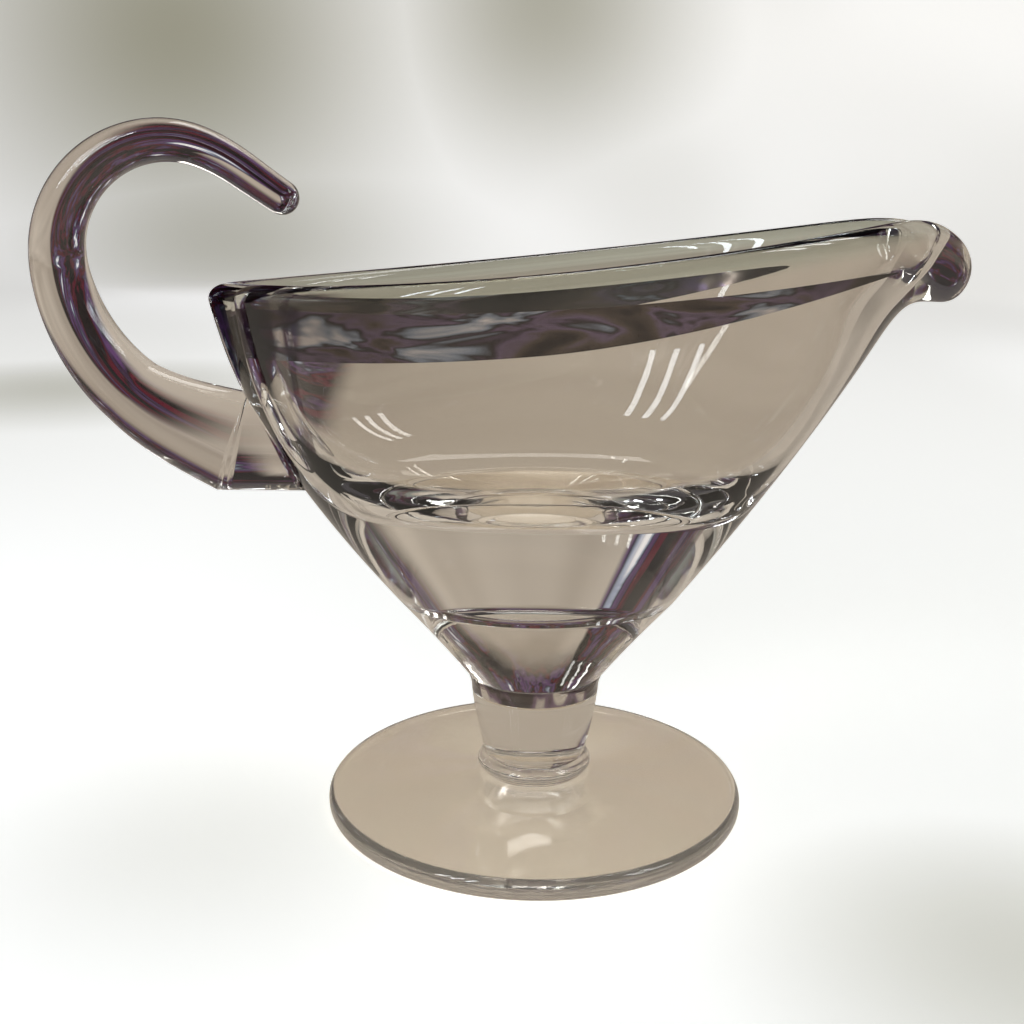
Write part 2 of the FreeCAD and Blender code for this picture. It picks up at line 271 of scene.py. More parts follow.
class BowlCurves:
    """The bowl's skin as rings of poles, and points on it."""

    outer_shares = (0.0, 0.12, 0.28, 0.47, 0.66, 0.8)
    rim_lines = ((0, 1.35, 0.4), (-0.05, 0.75, 1.0), (0.05, 0.15, 0.8), (0.3, -0.2, 0.35), (0.65, -0.2, 0.1))
    rim_lines += ((0.95, 0.15, 0.0), (1.0, 0.8, 0.0))
    inner_shares = (0.9, 0.72, 0.5, 0.28, 0.12, 0.0)
    rear_fullness, front_fullness, side_fullness = 1.7, 1.3, 1.9
    rear_taper, front_taper, inside_taper = 1.65, 1.6, 1.5
    lip_focus, lip_round, spout_focus, corner_rise = 14, 0.45, 24, 6

    def __init__(self, s):
        self.s = s
        self.base_top = BASE_HIGH.z
        self.base_length = BASE_HIGH.x - BASE_LOW.x
        self.base_width = BASE_HIGH.y - BASE_LOW.y
        self.turn = angles(POLES_ROUND)
        self.floor_z = self.base_top + s.floor_depth
        rings = [self.outer_ring(part) for part in self.outer_shares]
        rings += [self.rim_ring(*row) for row in self.rim_lines]
        rings += [self.inner_ring(part) for part in self.inner_shares]
        corner = rings[-1]
        middle = np.array([(corner[0, 0] + corner[POLES_ROUND // 2, 0]) / 2, 0.0, self.floor_z])
        rings.append((corner + middle) / 2)
        self.rings = np.array(rings)
        self.spans = len(rings) - 3
        self.band_start = len(self.outer_shares) + len(self.rim_lines) - 2

    def outer_reach(self, part):
        """Reach of the outer wall to the rear, to the front and to each side."""
        s = self.s
        rear = between(self.base_length / 2, s.bowl_rear_reach, fuller(part, self.rear_fullness))
        front = between(self.base_length / 2, s.bowl_front_reach, fuller(part, self.front_fullness))
        half = between(self.base_width / 2, s.bowl_width / 2, fuller(part, self.side_fullness))
        return rear, front, half

    def outer_ring(self, part):
        """Poles of the outer wall, from the base's top to the rim."""
        s = self.s
        middle = s.bowl_widest_x * part
        rear, front, half = self.outer_reach(part)
        ends = (between(1.0, self.rear_taper, part), between(1.0, self.front_taper, part))
        x, y = leaf(self.turn, middle, rear, front, half, ends)
        full_x = leaf(self.turn, s.bowl_widest_x, s.bowl_rear_reach, s.bowl_front_reach, 1.0, ends)[0]
        return np.stack([x, y, between(self.base_top, rim_height(s, full_x), part)], 1)

    def rim_ring(self, inset, drop, flare):
        """Poles of one line round the rim: inset 0 is the outer wall and 1 the inner."""
        s = self.s
        ahead = np.maximum(0.0, np.cos(self.turn))
        lip = ahead**self.lip_focus
        bead = between(s.rim_bead, s.lip_bead, lip * (1.0 - inset))
        rear = s.bowl_rear_reach - s.rear_wall * inset
        front = s.bowl_front_reach - s.side_wall * inset + s.lip_flare * lip * flare
        half = s.bowl_width / 2 - s.side_wall * inset
        ends = (self.rear_taper, self.front_taper - self.lip_round * lip)
        x, y = leaf(self.turn, s.bowl_widest_x, rear, front, half, ends)
        return np.stack([x, y, rim_height(s, x) - s.spout_dip * ahead**self.spout_focus - bead * drop], 1)

    def inner_ring(self, part):
        """Poles of the inner wall, from the cavity's floor to just under the rim."""
        s = self.s
        tall = s.rim_middle - self.base_top
        level = s.floor_depth + (tall - s.throat_drop - s.floor_depth) * part
        rear, front, half = self.outer_reach(level / tall)
        corner = s.corner_inset * (1.0 - part) ** self.corner_rise
        rear -= between(s.lower_wall, s.rear_wall, part) + corner
        front -= between(s.lower_wall, s.front_wall, part) + corner
        half -= between(s.lower_wall, s.side_wall, part) + corner
        ends = between(1.0, self.inside_taper, part)
        x, y = leaf(self.turn, s.bowl_widest_x * part, rear, front, half, (ends, ends))
        return np.stack([x, y, between(self.floor_z, rim_height(s, x) - s.throat_drop, part)], 1)

    def grid(self, turns, heights):
        """Points where each height, in spans from the base over the rim to the floor, meets each turn."""
        return spline_grid(self.rings, turns, heights)

    def line(self, turns, heights):
        """One point for each pair of turn and height."""
        across = clamped_weights(len(self.rings), heights)
        return np.einsum("na,nb,abc->nc", across, round_weights(POLES_ROUND, turns), self.rings)

    def rear_wall_x(self, z):
        """X of the outer wall at its rear end, at one height."""
        part = (z - self.base_top) / (rim_height(self.s, -self.s.bowl_rear_reach) - self.base_top)
        return -between(self.base_length / 2, self.s.bowl_rear_reach, fuller(part, self.rear_fullness))


def clamped_weights(count, at):
    """Weights of count poles of a cubic spline that is clamped at both ends, at places in spans."""
    at = np.asarray(at, float)
    knots = np.concatenate([[0] * 3, np.arange(count - 2), [count - 3] * 3]).astype(float)
    low = np.clip(np.floor(at), 0, count - 4)
    weights = np.zeros((len(at), len(knots) - 1))
    weights[np.arange(len(at)), low.astype(int) + 3] = 1.0
    for degree in (1, 2, 3):
        for i in range(len(knots) - 1 - degree):
            left, right = knots[i + degree] - knots[i], knots[i + degree + 1] - knots[i + 1]
            rising = (at - knots[i]) / left * weights[:, i] if left else 0.0
            falling = (knots[i + degree + 1] - at) / right * weights[:, i + 1] if right else 0.0
            weights[:, i] = rising + falling
    return weights[:, :count]


def round_weights(count, turns):
    """Weights of count poles of a closed even cubic spline, at angles."""
    at = np.asarray(turns, float) * count / (2.0 * math.pi)
    span = np.floor(at).astype(int)
    f = at - span
    weights = np.zeros((len(at), count))
    rows = np.arange(len(at))
    parts = ((1 - f) ** 3, 3 * f**3 - 6 * f**2 + 4, -3 * f**3 + 3 * f**2 + 3 * f + 1, f**3)
    for k, part in enumerate(parts):
        np.add.at(weights, (rows, (span + k - 1) % count), part / 6.0)
    return weights


def spline_grid(rings, turns, heights):
    """Points of the skin through rings of poles, a row for each height and a column for each turn."""
    across = clamped_weights(len(rings), heights)
    return np.einsum("va,ub,abc->vuc", across, round_weights(POLES_ROUND, turns), rings)


def ends_dense(count, gather):
    """Angles round a full turn that stand closer together at the front and the rear."""
    t = angles(count)
    return t - gather * 0.5 * np.sin(2.0 * t)


def smooth_path(points, count):
    """A natural cubic spline through points, spaced by its chords, at count even steps."""
    points = np.asarray(points, float)
    knots = np.concatenate([[0.0], np.cumsum(np.linalg.norm(np.diff(points, axis=0), axis=1))])
    n = len(points)
    gaps = np.diff(knots)
    lhs = np.eye(n)
    rhs = np.zeros_like(points)
    for i in range(1, n - 1):
        lhs[i, i - 1 : i + 2] = gaps[i - 1], 2 * (gaps[i - 1] + gaps[i]), gaps[i]
        rhs[i] = 6 * ((points[i + 1] - points[i]) / gaps[i] - (points[i] - points[i - 1]) / gaps[i - 1])
    bend = np.linalg.solve(lhs, rhs)
    at = np.linspace(0, knots[-1], count)
    i = np.clip(np.searchsorted(knots, at, side="right") - 1, 0, n - 2)
    h = gaps[i][:, None]
    a = (knots[i + 1] - at)[:, None] / h
    b = 1 - a
    curve = a * points[i] + b * points[i + 1]
    return curve + ((a**3 - a) * bend[i] + (b**3 - b) * bend[i + 1]) * h * h / 6


def arc_points(a, b, c, count):
    """Points of the round arc from a through b to c, in a plane."""
    a, b, c = (np.asarray(p, float) for p in (a, b, c))
    lhs = 2 * np.array([b - a, c - a])
    centre = np.linalg.solve(lhs, np.array([b @ b - a @ a, c @ c - a @ a]))
    start, middle, end = (math.atan2(*(p - centre)[::-1]) for p in (a, b, c))
    turn = (end - start) % (2 * math.pi)
    if (middle - start) % (2 * math.pi) > turn:
        turn -= 2 * math.pi
    t = start + turn * np.linspace(0, 1, count)
    radius = np.linalg.norm(a - centre)
    return np.stack([centre[0] + radius * np.cos(t), centre[1] + radius * np.sin(t)], 1)


# ---------------------------------------------------------------- meshes


def quads(rows, columns):
    """Faces of a grid that is closed round each row."""
    r, c = np.meshgrid(np.arange(rows - 1), np.arange(columns), indexing="ij")
    low, high, beside = r * columns, (r + 1) * columns, (c + 1) % columns
    return np.stack([low + c, low + beside, high + beside, high + c], -1).reshape(-1, 4)


def turned(profile, sides):
    """Rings of a turned shape from its profile, (radius, height) row by row."""
    turns = angles(sides)
    radius = profile[:, :1]
    return np.stack([radius * np.cos(turns), radius * np.sin(turns), np.repeat(profile[:, 1:], sides, 1)], -1)


def capped(rings, cap_rows):
    """Grid rows with more rows that shrink to the middle at both ends; the last point closes each end."""
    first, last = rings[0], rings[-1]
    parts = np.arange(1, cap_rows) / cap_rows
    start = [first.mean(0) + (first - first.mean(0)) * p for p in parts]
    end = [last.mean(0) + (last - last.mean(0)) * p for p in parts[::-1]]
    start, end = (np.array(rows).reshape(-1, *first.shape) for rows in (start, end))
    return np.concatenate([start, rings, end])


def closed_piece(name, rings, start_middle=None, end_middle=None, smooth_rows=None):
    """A mesh object from grid rows, closed by a fan at each end. Rows outside smooth_rows are flat."""
    rows, columns = rings.shape[:2]
    start = rings[0].mean(0) if start_middle is None else start_middle
    end = rings[-1].mean(0) if end_middle is None else end_middle
    points = np.concatenate([rings.reshape(-1, 3), [start], [end]])
    faces = quads(rows, columns).tolist()
    count = rows * columns
    low, high = count, count + 1
    fans = [(c, low, (c + 1) % columns) for c in range(columns)]
    top = (rows - 1) * columns
    fans += [(top + c, top + (c + 1) % columns, high) for c in range(columns)]
    mesh = bpy.data.meshes.new(name)
    mesh.from_pydata(points.tolist(), [], faces + fans)
    smooth = np.ones(len(faces) + len(fans), bool)
    if smooth_rows:
        first, last = smooth_rows
        row = np.repeat(np.arange(rows - 1), columns)
        smooth[: len(faces)] = (row >= first) & (row < last)
        smooth[len(faces) : len(faces) + columns] = first <= 0
        smooth[len(faces) + columns :] = last >= rows - 1
    mesh.polygons.foreach_set("use_smooth", smooth)
    face_outwards(mesh)
    return link_piece(name, mesh)


def face_outwards(mesh):
    """Turns every face of a closed mesh outwards."""
    work = bmesh.new()
    work.from_mesh(mesh)
    bmesh.ops.recalc_face_normals(work, faces=work.faces)
    if work.calc_volume(signed=True) < 0:
        bmesh.ops.reverse_faces(work, faces=work.faces)
    work.to_mesh(mesh)
    work.free()


def link_piece(name, mesh):
    """A new object at the origin that shows the mesh."""
    piece = bpy.data.objects.new(name, mesh)
    bpy.context.scene.collection.objects.link(piece)
    return piece


def stand_for(piece, slot, *nodes):
    """Puts the piece on the body, in place of its CAD nodes; its slot is not used."""
    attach(piece, BODY)
    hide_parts(*nodes)


def glaze(piece, glass):
    """Gives a piece its glass, and the unseen finish to its flat faces, where it is fused to the next."""
    piece.data.materials.append(glass_kinds()[glass])
    piece.data.materials.append(fused_face())
    for face in piece.data.polygons:
        if not face.use_smooth:
            face.material_index = 1


# ---------------------------------------------------------------- node trees


def node(tree, kind, inputs=None, **settings):
    """A new node with its settings and its unlinked inputs."""
    made = tree.nodes.new(kind)
    for key, value in settings.items():
        setattr(made, key, value)
    for key, value in (inputs or {}).items():
        socket = made.inputs[key]
        if isinstance(value, bpy.types.NodeSocket):
            tree.links.new(value, socket)
        else:
            socket.default_value = value
    return made


def maths(tree, operation, a, b=0.0, clamp=False):
    """The result of one Math node."""
    return node(tree, "ShaderNodeMath", {0: a, 1: b}, operation=operation, use_clamp=clamp).outputs[0]


def map_range(tree, value, from_low, from_high, to_low, to_high, smooth=False):
    """The result of one Map Range node, clamped."""
    kind = "SMOOTHSTEP" if smooth else "LINEAR"
    inputs = {"Value": value, "From Min": from_low, "From Max": from_high}
    inputs.update({"To Min": to_low, "To Max": to_high})
    return node(tree, "ShaderNodeMapRange", inputs, interpolation_type=kind, clamp=True).outputs[0]


def ramp(tree, value, stops):
    """Colours along a value, as (place, colour) stops."""
    made = node(tree, "ShaderNodeValToRGB", {"Fac": value})
    elements = made.color_ramp.elements
    while len(elements) < len(stops):
        elements.new(0.5)
    for element, (spot, shade) in zip(elements, stops):
        element.position = spot
        element.color = (*shade, 1.0)
    return made.outputs[0]


def mix(tree, part, first, second):
    """First colour where part is 0, second where it is 1."""
    inputs = {0: part, 6: solid(first), 7: solid(second)}
    return node(tree, "ShaderNodeMix", inputs, data_type="RGBA").outputs[2]


def solid(shade):
    """A colour with full alpha; a socket is passed on."""
    return shade if isinstance(shade, bpy.types.NodeSocket) else (*shade, 1.0)


def new_tree(name, kind, inputs, outputs):
    """A node group with named inputs and outputs, and its two end nodes."""
    tree = bpy.data.node_groups.new(name, kind)
    for label, socket, default in inputs:
        made = tree.interface.new_socket(label, in_out="INPUT", socket_type=socket)
        if default is not None:
            made.default_value = default
    for label, socket in outputs:
        tree.interface.new_socket(label, in_out="OUTPUT", socket_type=socket)
    return tree, tree.nodes.new("NodeGroupInput"), tree.nodes.new("NodeGroupOutput")


def run_tree(name, tree, values, source=None):
    """Runs a geometry tree on a new object and returns the plain mesh that it makes."""
    data = source or bpy.data.meshes.new(name)
    holder = bpy.data.objects.new(name + "_maker", data)
    bpy.context.scene.collection.objects.link(holder)
    modifier = holder.modifiers.new("Maker", "NODES")
    modifier.node_group = tree
    names = {item.name: item.identifier for item in tree.interface.items_tree if item.item_type == "SOCKET"}
    for key, value in values.items():
        modifier[names[key]] = value
    bpy.context.view_layer.update()
    graph = bpy.context.evaluated_depsgraph_get()
    made = holder.evaluated_get(graph)
    mesh = bpy.data.meshes.new_from_object(made, preserve_all_data_layers=True, depsgraph=graph)
    holder.modifiers.remove(modifier)
    bpy.data.objects.remove(holder)
    mesh.name = name
    return mesh


NUMBER, WHOLE, VECTOR = "NodeSocketFloat", "NodeSocketInt", "NodeSocketVector"
GEOMETRY, MATERIAL = "NodeSocketGeometry", "NodeSocketMaterial"


def finish_tree(tree, start, end, geometry, fused_faces):
    """Ends a tree: real geometry in glass, with its fused faces in their own material."""
    solid = node(tree, "GeometryNodeRealizeInstances", {"Geometry": geometry}).outputs[0]
    inputs = {"Geometry": solid, "Material": start.outputs["Glass"]}
    glass = node(tree, "GeometryNodeSetMaterial", inputs).outputs[0]
    inputs = {"Geometry": glass, "Selection": fused_faces, "Material": start.outputs["Fused Face"]}
    fused = node(tree, "GeometryNodeSetMaterial", inputs)
    tree.links.new(fused.outputs[0], end.inputs["Geometry"])


def stored(tree, geometry, name, value, kind, domain):
    """Geometry with a named attribute stored on it."""
    inputs = {"Geometry": geometry, "Name": name, "Value": value}
    return node(tree, "GeometryNodeStoreNamedAttribute", inputs, data_type=kind, domain=domain).outputs[0]


def recalled(tree, name, kind):
    """A named attribute, read back."""
    return node(tree, "GeometryNodeInputNamedAttribute", {"Name": name}, data_type=kind).outputs[0]


def turned_tree():
    """Geometry nodes for a short turned piece: a round body between two discs, fuller in the middle."""
    inputs = [("Sides", WHOLE, 128), ("Steps", WHOLE, 16)]
    inputs += [("Bottom Radius", NUMBER, 0.01), ("Top Radius", NUMBER, 0.01)]
    inputs += [("Bulge", NUMBER, 0.0), ("Bottom Height", NUMBER, 0.0), ("Top Height", NUMBER, 0.01)]
    inputs += [("Glass", MATERIAL, None), ("Fused Face", MATERIAL, None)]
    tree, start, end = new_tree("Turned Shank", "GeometryNodeTree", inputs, [("Geometry", GEOMETRY)])
    shape = {"Vertices": start.outputs["Sides"], "Side Segments": start.outputs["Steps"]}
    shape.update({"Radius": 1.0, "Depth": 1.0})
    cylinder = node(tree, "GeometryNodeMeshCylinder", shape, fill_type="NGON")
    place = node(tree, "ShaderNodeSeparateXYZ", {0: node(tree, "GeometryNodeInputPosition").outputs[0]})
    up = maths(tree, "ADD", place.outputs["Z"], 0.5)
    width = map_range(tree, up, 0.0, 1.0, start.outputs["Bottom Radius"], start.outputs["Top Radius"])
    belly = maths(tree, "MULTIPLY", maths(tree, "MULTIPLY", up, maths(tree, "SUBTRACT", 1.0, up)), 4.0)
    radius = maths(tree, "ADD", width, maths(tree, "MULTIPLY", belly, start.outputs["Bulge"]))
    height = map_range(tree, up, 0.0, 1.0, start.outputs["Bottom Height"], start.outputs["Top Height"])
    spot = node(tree, "ShaderNodeCombineXYZ", {
        "X": maths(tree, "MULTIPLY", place.outputs["X"], radius),
        "Y": maths(tree, "MULTIPLY", place.outputs["Y"], radius),
        "Z": height,
    })
    side = stored(tree, cylinder.outputs["Mesh"], "side", cylinder.outputs["Side"], "BOOLEAN", "FACE")
    moved = node(tree, "GeometryNodeSetPosition", {"Geometry": side, "Position": spot.outputs[0]})
    is_side = recalled(tree, "side", "BOOLEAN")
    flat = node(tree, "GeometryNodeSetShadeSmooth", {"Geometry": moved.outputs[0], "Shade Smooth": is_side})
    finish_tree(tree, start, end, flat.outputs[0], maths(tree, "SUBTRACT", 1.0, is_side))
    return tree


def swept_rod_tree():
    """Geometry nodes for a rod along a path: round at its free tip, thicker on the way, oval at its root."""
    inputs = [("Path", GEOMETRY, None), ("Sides", WHOLE, 64)]
    inputs += [(label, NUMBER, 0.005) for label in ("Tip Radius", "Top Radius", "Back Radius")]
    inputs += [(label, NUMBER, 0.006) for label in ("Leg Half Height", "Leg Half Width")]
    inputs += [(label, NUMBER, 0.006) for label in ("Root Half Height", "Root Half Width")]
    inputs += [("Glass", MATERIAL, None), ("Fused Face", MATERIAL, None)]
    tree, start, end = new_tree("Swept Handle", "GeometryNodeTree", inputs, [("Geometry", GEOMETRY)])
    path = node(tree, "GeometryNodeSplineParameter")
    run, tip = path.outputs["Length"], start.outputs["Tip Radius"]
    spline_length = node(tree, "GeometryNodeSplineLength").outputs["Length"]
    whole_run = maths(tree, "SUBTRACT", spline_length, tip)
    along = maths(tree, "DIVIDE", maths(tree, "SUBTRACT", run, tip), whole_run, clamp=True)

    def profile(labels):
        """Radius along the path that steps evenly from one mark to the next."""
        total = start.outputs[labels[0]]
        for k in range(len(ROD_MARKS) - 1):
            rise = maths(tree, "SUBTRACT", start.outputs[labels[k + 1]], start.outputs[labels[k]])
            step = map_range(tree, along, ROD_MARKS[k], ROD_MARKS[k + 1], 0.0, rise)
            total = maths(tree, "ADD", total, step)
        return total

    high = profile(("Tip Radius", "Top Radius", "Back Radius", "Leg Half Height", "Root Half Height"))
    wide = profile(("Tip Radius", "Top Radius", "Back Radius", "Leg Half Width", "Root Half Width"))
    near_tip = maths(tree, "MINIMUM", maths(tree, "DIVIDE", run, tip), 1.0)
    short = maths(tree, "SUBTRACT", 1.0, near_tip)
    left = maths(tree, "SUBTRACT", 1.0, maths(tree, "MULTIPLY", short, short))
    rounding = maths(tree, "SQRT", maths(tree, "MAXIMUM", left, 0.0))
    radius = maths(tree, "MAXIMUM", maths(tree, "MULTIPLY", high, rounding), LEAST_RADIUS)
    sized = node(tree, "GeometryNodeSetCurveRadius", {"Curve": start.outputs["Path"], "Radius": radius})
    squashed = maths(tree, "DIVIDE", wide, high)
    ratio = stored(tree, sized.outputs[0], "ratio", squashed, "FLOAT", "POINT")
    marked = stored(tree, ratio, "along", along, "FLOAT", "POINT")
    inputs = {"Resolution": start.outputs["Sides"], "Radius": 1.0}
    ring = node(tree, "GeometryNodeCurvePrimitiveCircle", inputs)
    inputs = {"Curve": marked, "Profile Curve": ring.outputs["Curve"], "Fill Caps": True}
    body = node(tree, "GeometryNodeCurveToMesh", inputs)
    # Where the sweep has a Scale input, the curve's radius has to be given to it
    if "Scale" in body.inputs:
        tree.links.new(node(tree, "GeometryNodeInputRadius").outputs[0], body.inputs["Scale"])
    place = node(tree, "ShaderNodeSeparateXYZ", {0: node(tree, "GeometryNodeInputPosition").outputs[0]})
    across = maths(tree, "MULTIPLY", place.outputs["Y"], recalled(tree, "ratio", "FLOAT"))
    spot = node(tree, "ShaderNodeCombineXYZ", {"X": place.outputs["X"], "Y": across, "Z": place.outputs["Z"]})
    oval = node(tree, "GeometryNodeSetPosition", {"Geometry": body.outputs[0], "Position": spot.outputs[0]})
    inputs = {"A": recalled(tree, "along", "FLOAT"), "B": ROOT_END}
    compare = node(tree, "FunctionNodeCompare", inputs, data_type="FLOAT", operation="GREATER_THAN")
    root_end = compare.outputs[0]
    smooth = maths(tree, "SUBTRACT", 1.0, root_end)
    shaded = node(tree, "GeometryNodeSetShadeSmooth", {"Geometry": oval.outputs[0], "Shade Smooth": smooth})
    finish_tree(tree, start, end, shaded.outputs[0], root_end)
    return tree


# ---------------------------------------------------------------- materials


def object_place(tree):
    """The place on the object that a pattern is laid on."""
    return node(tree, "ShaderNodeTexCoord").outputs["Object"]


def noise(tree, place, size, detail, **more):
    """The value of one Noise Texture node."""
    inputs = {"Vector": place, "Scale": size, "Detail": detail, **more}
    return node(tree, "ShaderNodeTexNoise", inputs).outputs[0]


def tooling_waves():
    """Shader group: slow waves and finer striae in hand-worked glass."""
    tree = bpy.data.node_groups.get("Tooling Waves")
    if tree:
        return tree
    inputs = [("Wave Size", NUMBER, 40.0), ("Striae Size", NUMBER, 160.0)]
    inputs += [("Striae Share", NUMBER, 0.2), ("Stretch", VECTOR, (1.0, 1.0, 1.0))]
    tree, start, end = new_tree("Tooling Waves", "ShaderNodeTree", inputs, [("Height", NUMBER)])
    inputs = {0: object_place(tree), 1: start.outputs["Stretch"]}
    stretched = node(tree, "ShaderNodeVectorMath", inputs, operation="MULTIPLY").outputs[0]
    slow = noise(tree, stretched, start.outputs["Wave Size"], 1.0)
    fine = noise(tree, stretched, start.outputs["Striae Size"], 2.0)
    mixed = maths(tree, "MULTIPLY", fine, start.outputs["Striae Share"])
    tree.links.new(maths(tree, "ADD", slow, mixed), end.inputs["Height"])
    return tree


# From this far to this far below the crest the rim's cooler tint fades into the wall's, in metres
RIM_TINT_DEPTHS = (0.0015, 0.0055)

# Painted shade and reflection at the joint: streaks per metre along each axis in its near black glass, and
# the colours of its painted violet reflections and pale painted highlights
JOINT_PAINTED_STREAKS = (190.0, 190.0, 60.0)
JOINT_VIOLET_REFLECTION = (0.09, 0.05, 0.10)
JOINT_PALE_HIGHLIGHT = (0.7, 0.66, 0.60)

# Colour of the light that the glass lets through to the floor
SHADOW_LIGHT = (0.93, 0.92, 0.90, 1.0)


def rim_tint(tree, tint, finishes, s):
    """The tint of the walls, turning cooler in the bead round the rim."""
    place = node(tree, "ShaderNodeSeparateXYZ", {0: object_place(tree)})
    x = place.outputs["X"]
    curve = maths(tree, "ADD", s.rim_slope, maths(tree, "MULTIPLY", x, s.rim_curve))
    crest = maths(tree, "ADD", s.rim_middle, maths(tree, "MULTIPLY", x, curve))
    below = maths(tree, "SUBTRACT", crest, place.outputs["Z"])
    bead = map_range(tree, below, *RIM_TINT_DEPTHS, 1.0, 0.0, smooth=True)
    return mix(tree, bead, tint, finishes.rim_glass)


def painted_joint_shade(tree, finishes):
    """Painted shade round the joint between stem and cone: near black glass with painted violet reflections
    and pale painted highlights in streaks.
    """
    level = node(tree, "ShaderNodeMapping", {"Vector": object_place(tree), "Scale": JOINT_PAINTED_STREAKS}).outputs[0]
    stops = [(0.50, finishes.joint_painted_shade), (0.57, JOINT_VIOLET_REFLECTION), (0.63, JOINT_PALE_HIGHLIGHT)]
    return ramp(tree, noise(tree, level, 1.0, 2.0), stops)


def clear_glass(name, tint, waves, bump, finishes, tint_nodes=None, clear=1.0):
    """Clear tinted glass that lets light through to the floor."""
    material = bpy.data.materials.new(name)
    material.use_nodes = True
    tree = material.node_tree
    tree.nodes.clear()
    inputs = {"Base Color": (*tint, 1.0), "Roughness": 0.0, "IOR": finishes.glass_bend}
    inputs["Transmission Weight"] = clear
    surface = node(tree, "ShaderNodeBsdfPrincipled", inputs)
    group = node(tree, "ShaderNodeGroup", node_tree=tooling_waves())
    for key, value in waves.items():
        group.inputs[key].default_value = value
    inputs = {"Height": group.outputs["Height"], "Distance": bump, "Strength": 1.0}
    relief = node(tree, "ShaderNodeBump", inputs)
    tree.links.new(relief.outputs[0], surface.inputs["Normal"])
    if tint_nodes:
        tree.links.new(tint_nodes(tree), surface.inputs["Base Color"])
    through = node(tree, "ShaderNodeBsdfTransparent", {"Color": SHADOW_LIGHT})
    shadow = node(tree, "ShaderNodeLightPath").outputs["Is Shadow Ray"]
    blend = node(tree, "ShaderNodeMixShader", {0: shadow, 1: surface.outputs[0], 2: through.outputs[0]})
    out = node(tree, "ShaderNodeOutputMaterial", {"Surface": blend.outputs[0]})
    out.is_active_output = True
    return material


def fused_face():
    """Unseen face where two gathers of glass are fused."""
    material = bpy.data.materials.get("Fused Joint")
    if material:
        return material
    material = bpy.data.materials.new("Fused Joint")
    material.use_nodes = True
    shader = material.node_tree.nodes["Principled BSDF"]
    shader.inputs["Alpha"].default_value = 0.0
    return material


# Painted reflection streaks per metre along each axis in the lustre, and their lean with the rim, in radians
SILVER_REFLECTION_STREAKS = (42.0, 20.0, 150.0)
SILVER_LEAN = 0.11


def silver_lustre(finishes):
    """Mirror silver with painted reflections of the dim room: dark, brown, violet and blue streaks in level
    bands.
    """
    material = bpy.data.materials.new("Silver Lustre")
    material.use_nodes = True
    tree = material.node_tree
    shader = tree.nodes["Principled BSDF"]
    shader.inputs["Metallic"].default_value = 1.0
    inputs = {"Vector": object_place(tree), "Scale": SILVER_REFLECTION_STREAKS, "Rotation": (0.0, SILVER_LEAN, 0.0)}
    level = node(tree, "ShaderNodeMapping", inputs).outputs[0]
    streaks = noise(tree, level, 1.0, 3.0, Roughness=0.55, Distortion=0.6)
    # Stops of the painted reflections, from dark through brown, violet and blue to the clean silver
    stops = [(0.40, finishes.silver_dark_reflection), (0.48, finishes.silver_brown_reflection), (0.53, finishes.silver_violet_reflection)]
    stops += [(0.57, finishes.silver_dark_reflection), (0.61, finishes.silver_blue_reflection), (0.70, finishes.silver_light)]
    tree.links.new(ramp(tree, streaks, stops), shader.inputs["Base Color"])
    tree.links.new(map_range(tree, streaks, 0.35, 0.65, 0.16, 0.05), shader.inputs["Roughness"])
    return material


# Share of the light that goes straight through the pressed glass of the foot
FOOT_CLEARNESS = 0.95


def glass_kinds():
    """The glass materials of this object, made once."""
    if "Bowl Glass" not in bpy.data.materials:
        f = bpy.context.scene.sauce_boat_finishes
        s = bpy.context.scene.sauce_boat_sizes
        walls = {"Wave Size": 45.0, "Striae Size": 150.0, "Striae Share": 0.12, "Stretch": (1.0, 1.0, 1.6)}
        base = {"Wave Size": 90.0, "Striae Size": 260.0, "Striae Share": 0.3, "Stretch": (1.0, 1.0, 1.0)}
        pressed = {"Wave Size": 70.0, "Striae Size": 1500.0, "Striae Share": 0.12, "Stretch": (1.0, 1.0, 1.0)}
        drawn = {"Wave Size": 60.0, "Striae Size": 400.0, "Striae Share": 0.05, "Stretch": (1.0, 1.0, 1.0)}
        bead = lambda tree: rim_tint(tree, f.bowl_glass, f, s)
        clear_glass("Bowl Glass", f.bowl_glass, walls, f.wave_depth, f, bead)
        clear_glass("Solid Glass", f.solid_glass, base, f.wave_depth * 2.0, f)
        # The joint's glass has painted shade, painted reflections and painted highlights in its colour
        clear_glass("Joint Painted Shade Glass", f.joint_painted_shade, base, f.wave_depth, f, lambda tree: painted_joint_shade(tree, f))
        clear_glass("Foot Glass", f.foot_glass, pressed, f.wave_depth * 2.0, f, clear=FOOT_CLEARNESS)
        clear_glass("Handle Glass", f.handle_glass, drawn, f.wave_depth, f)
    return bpy.data.materials


# ---------------------------------------------------------------- pieces


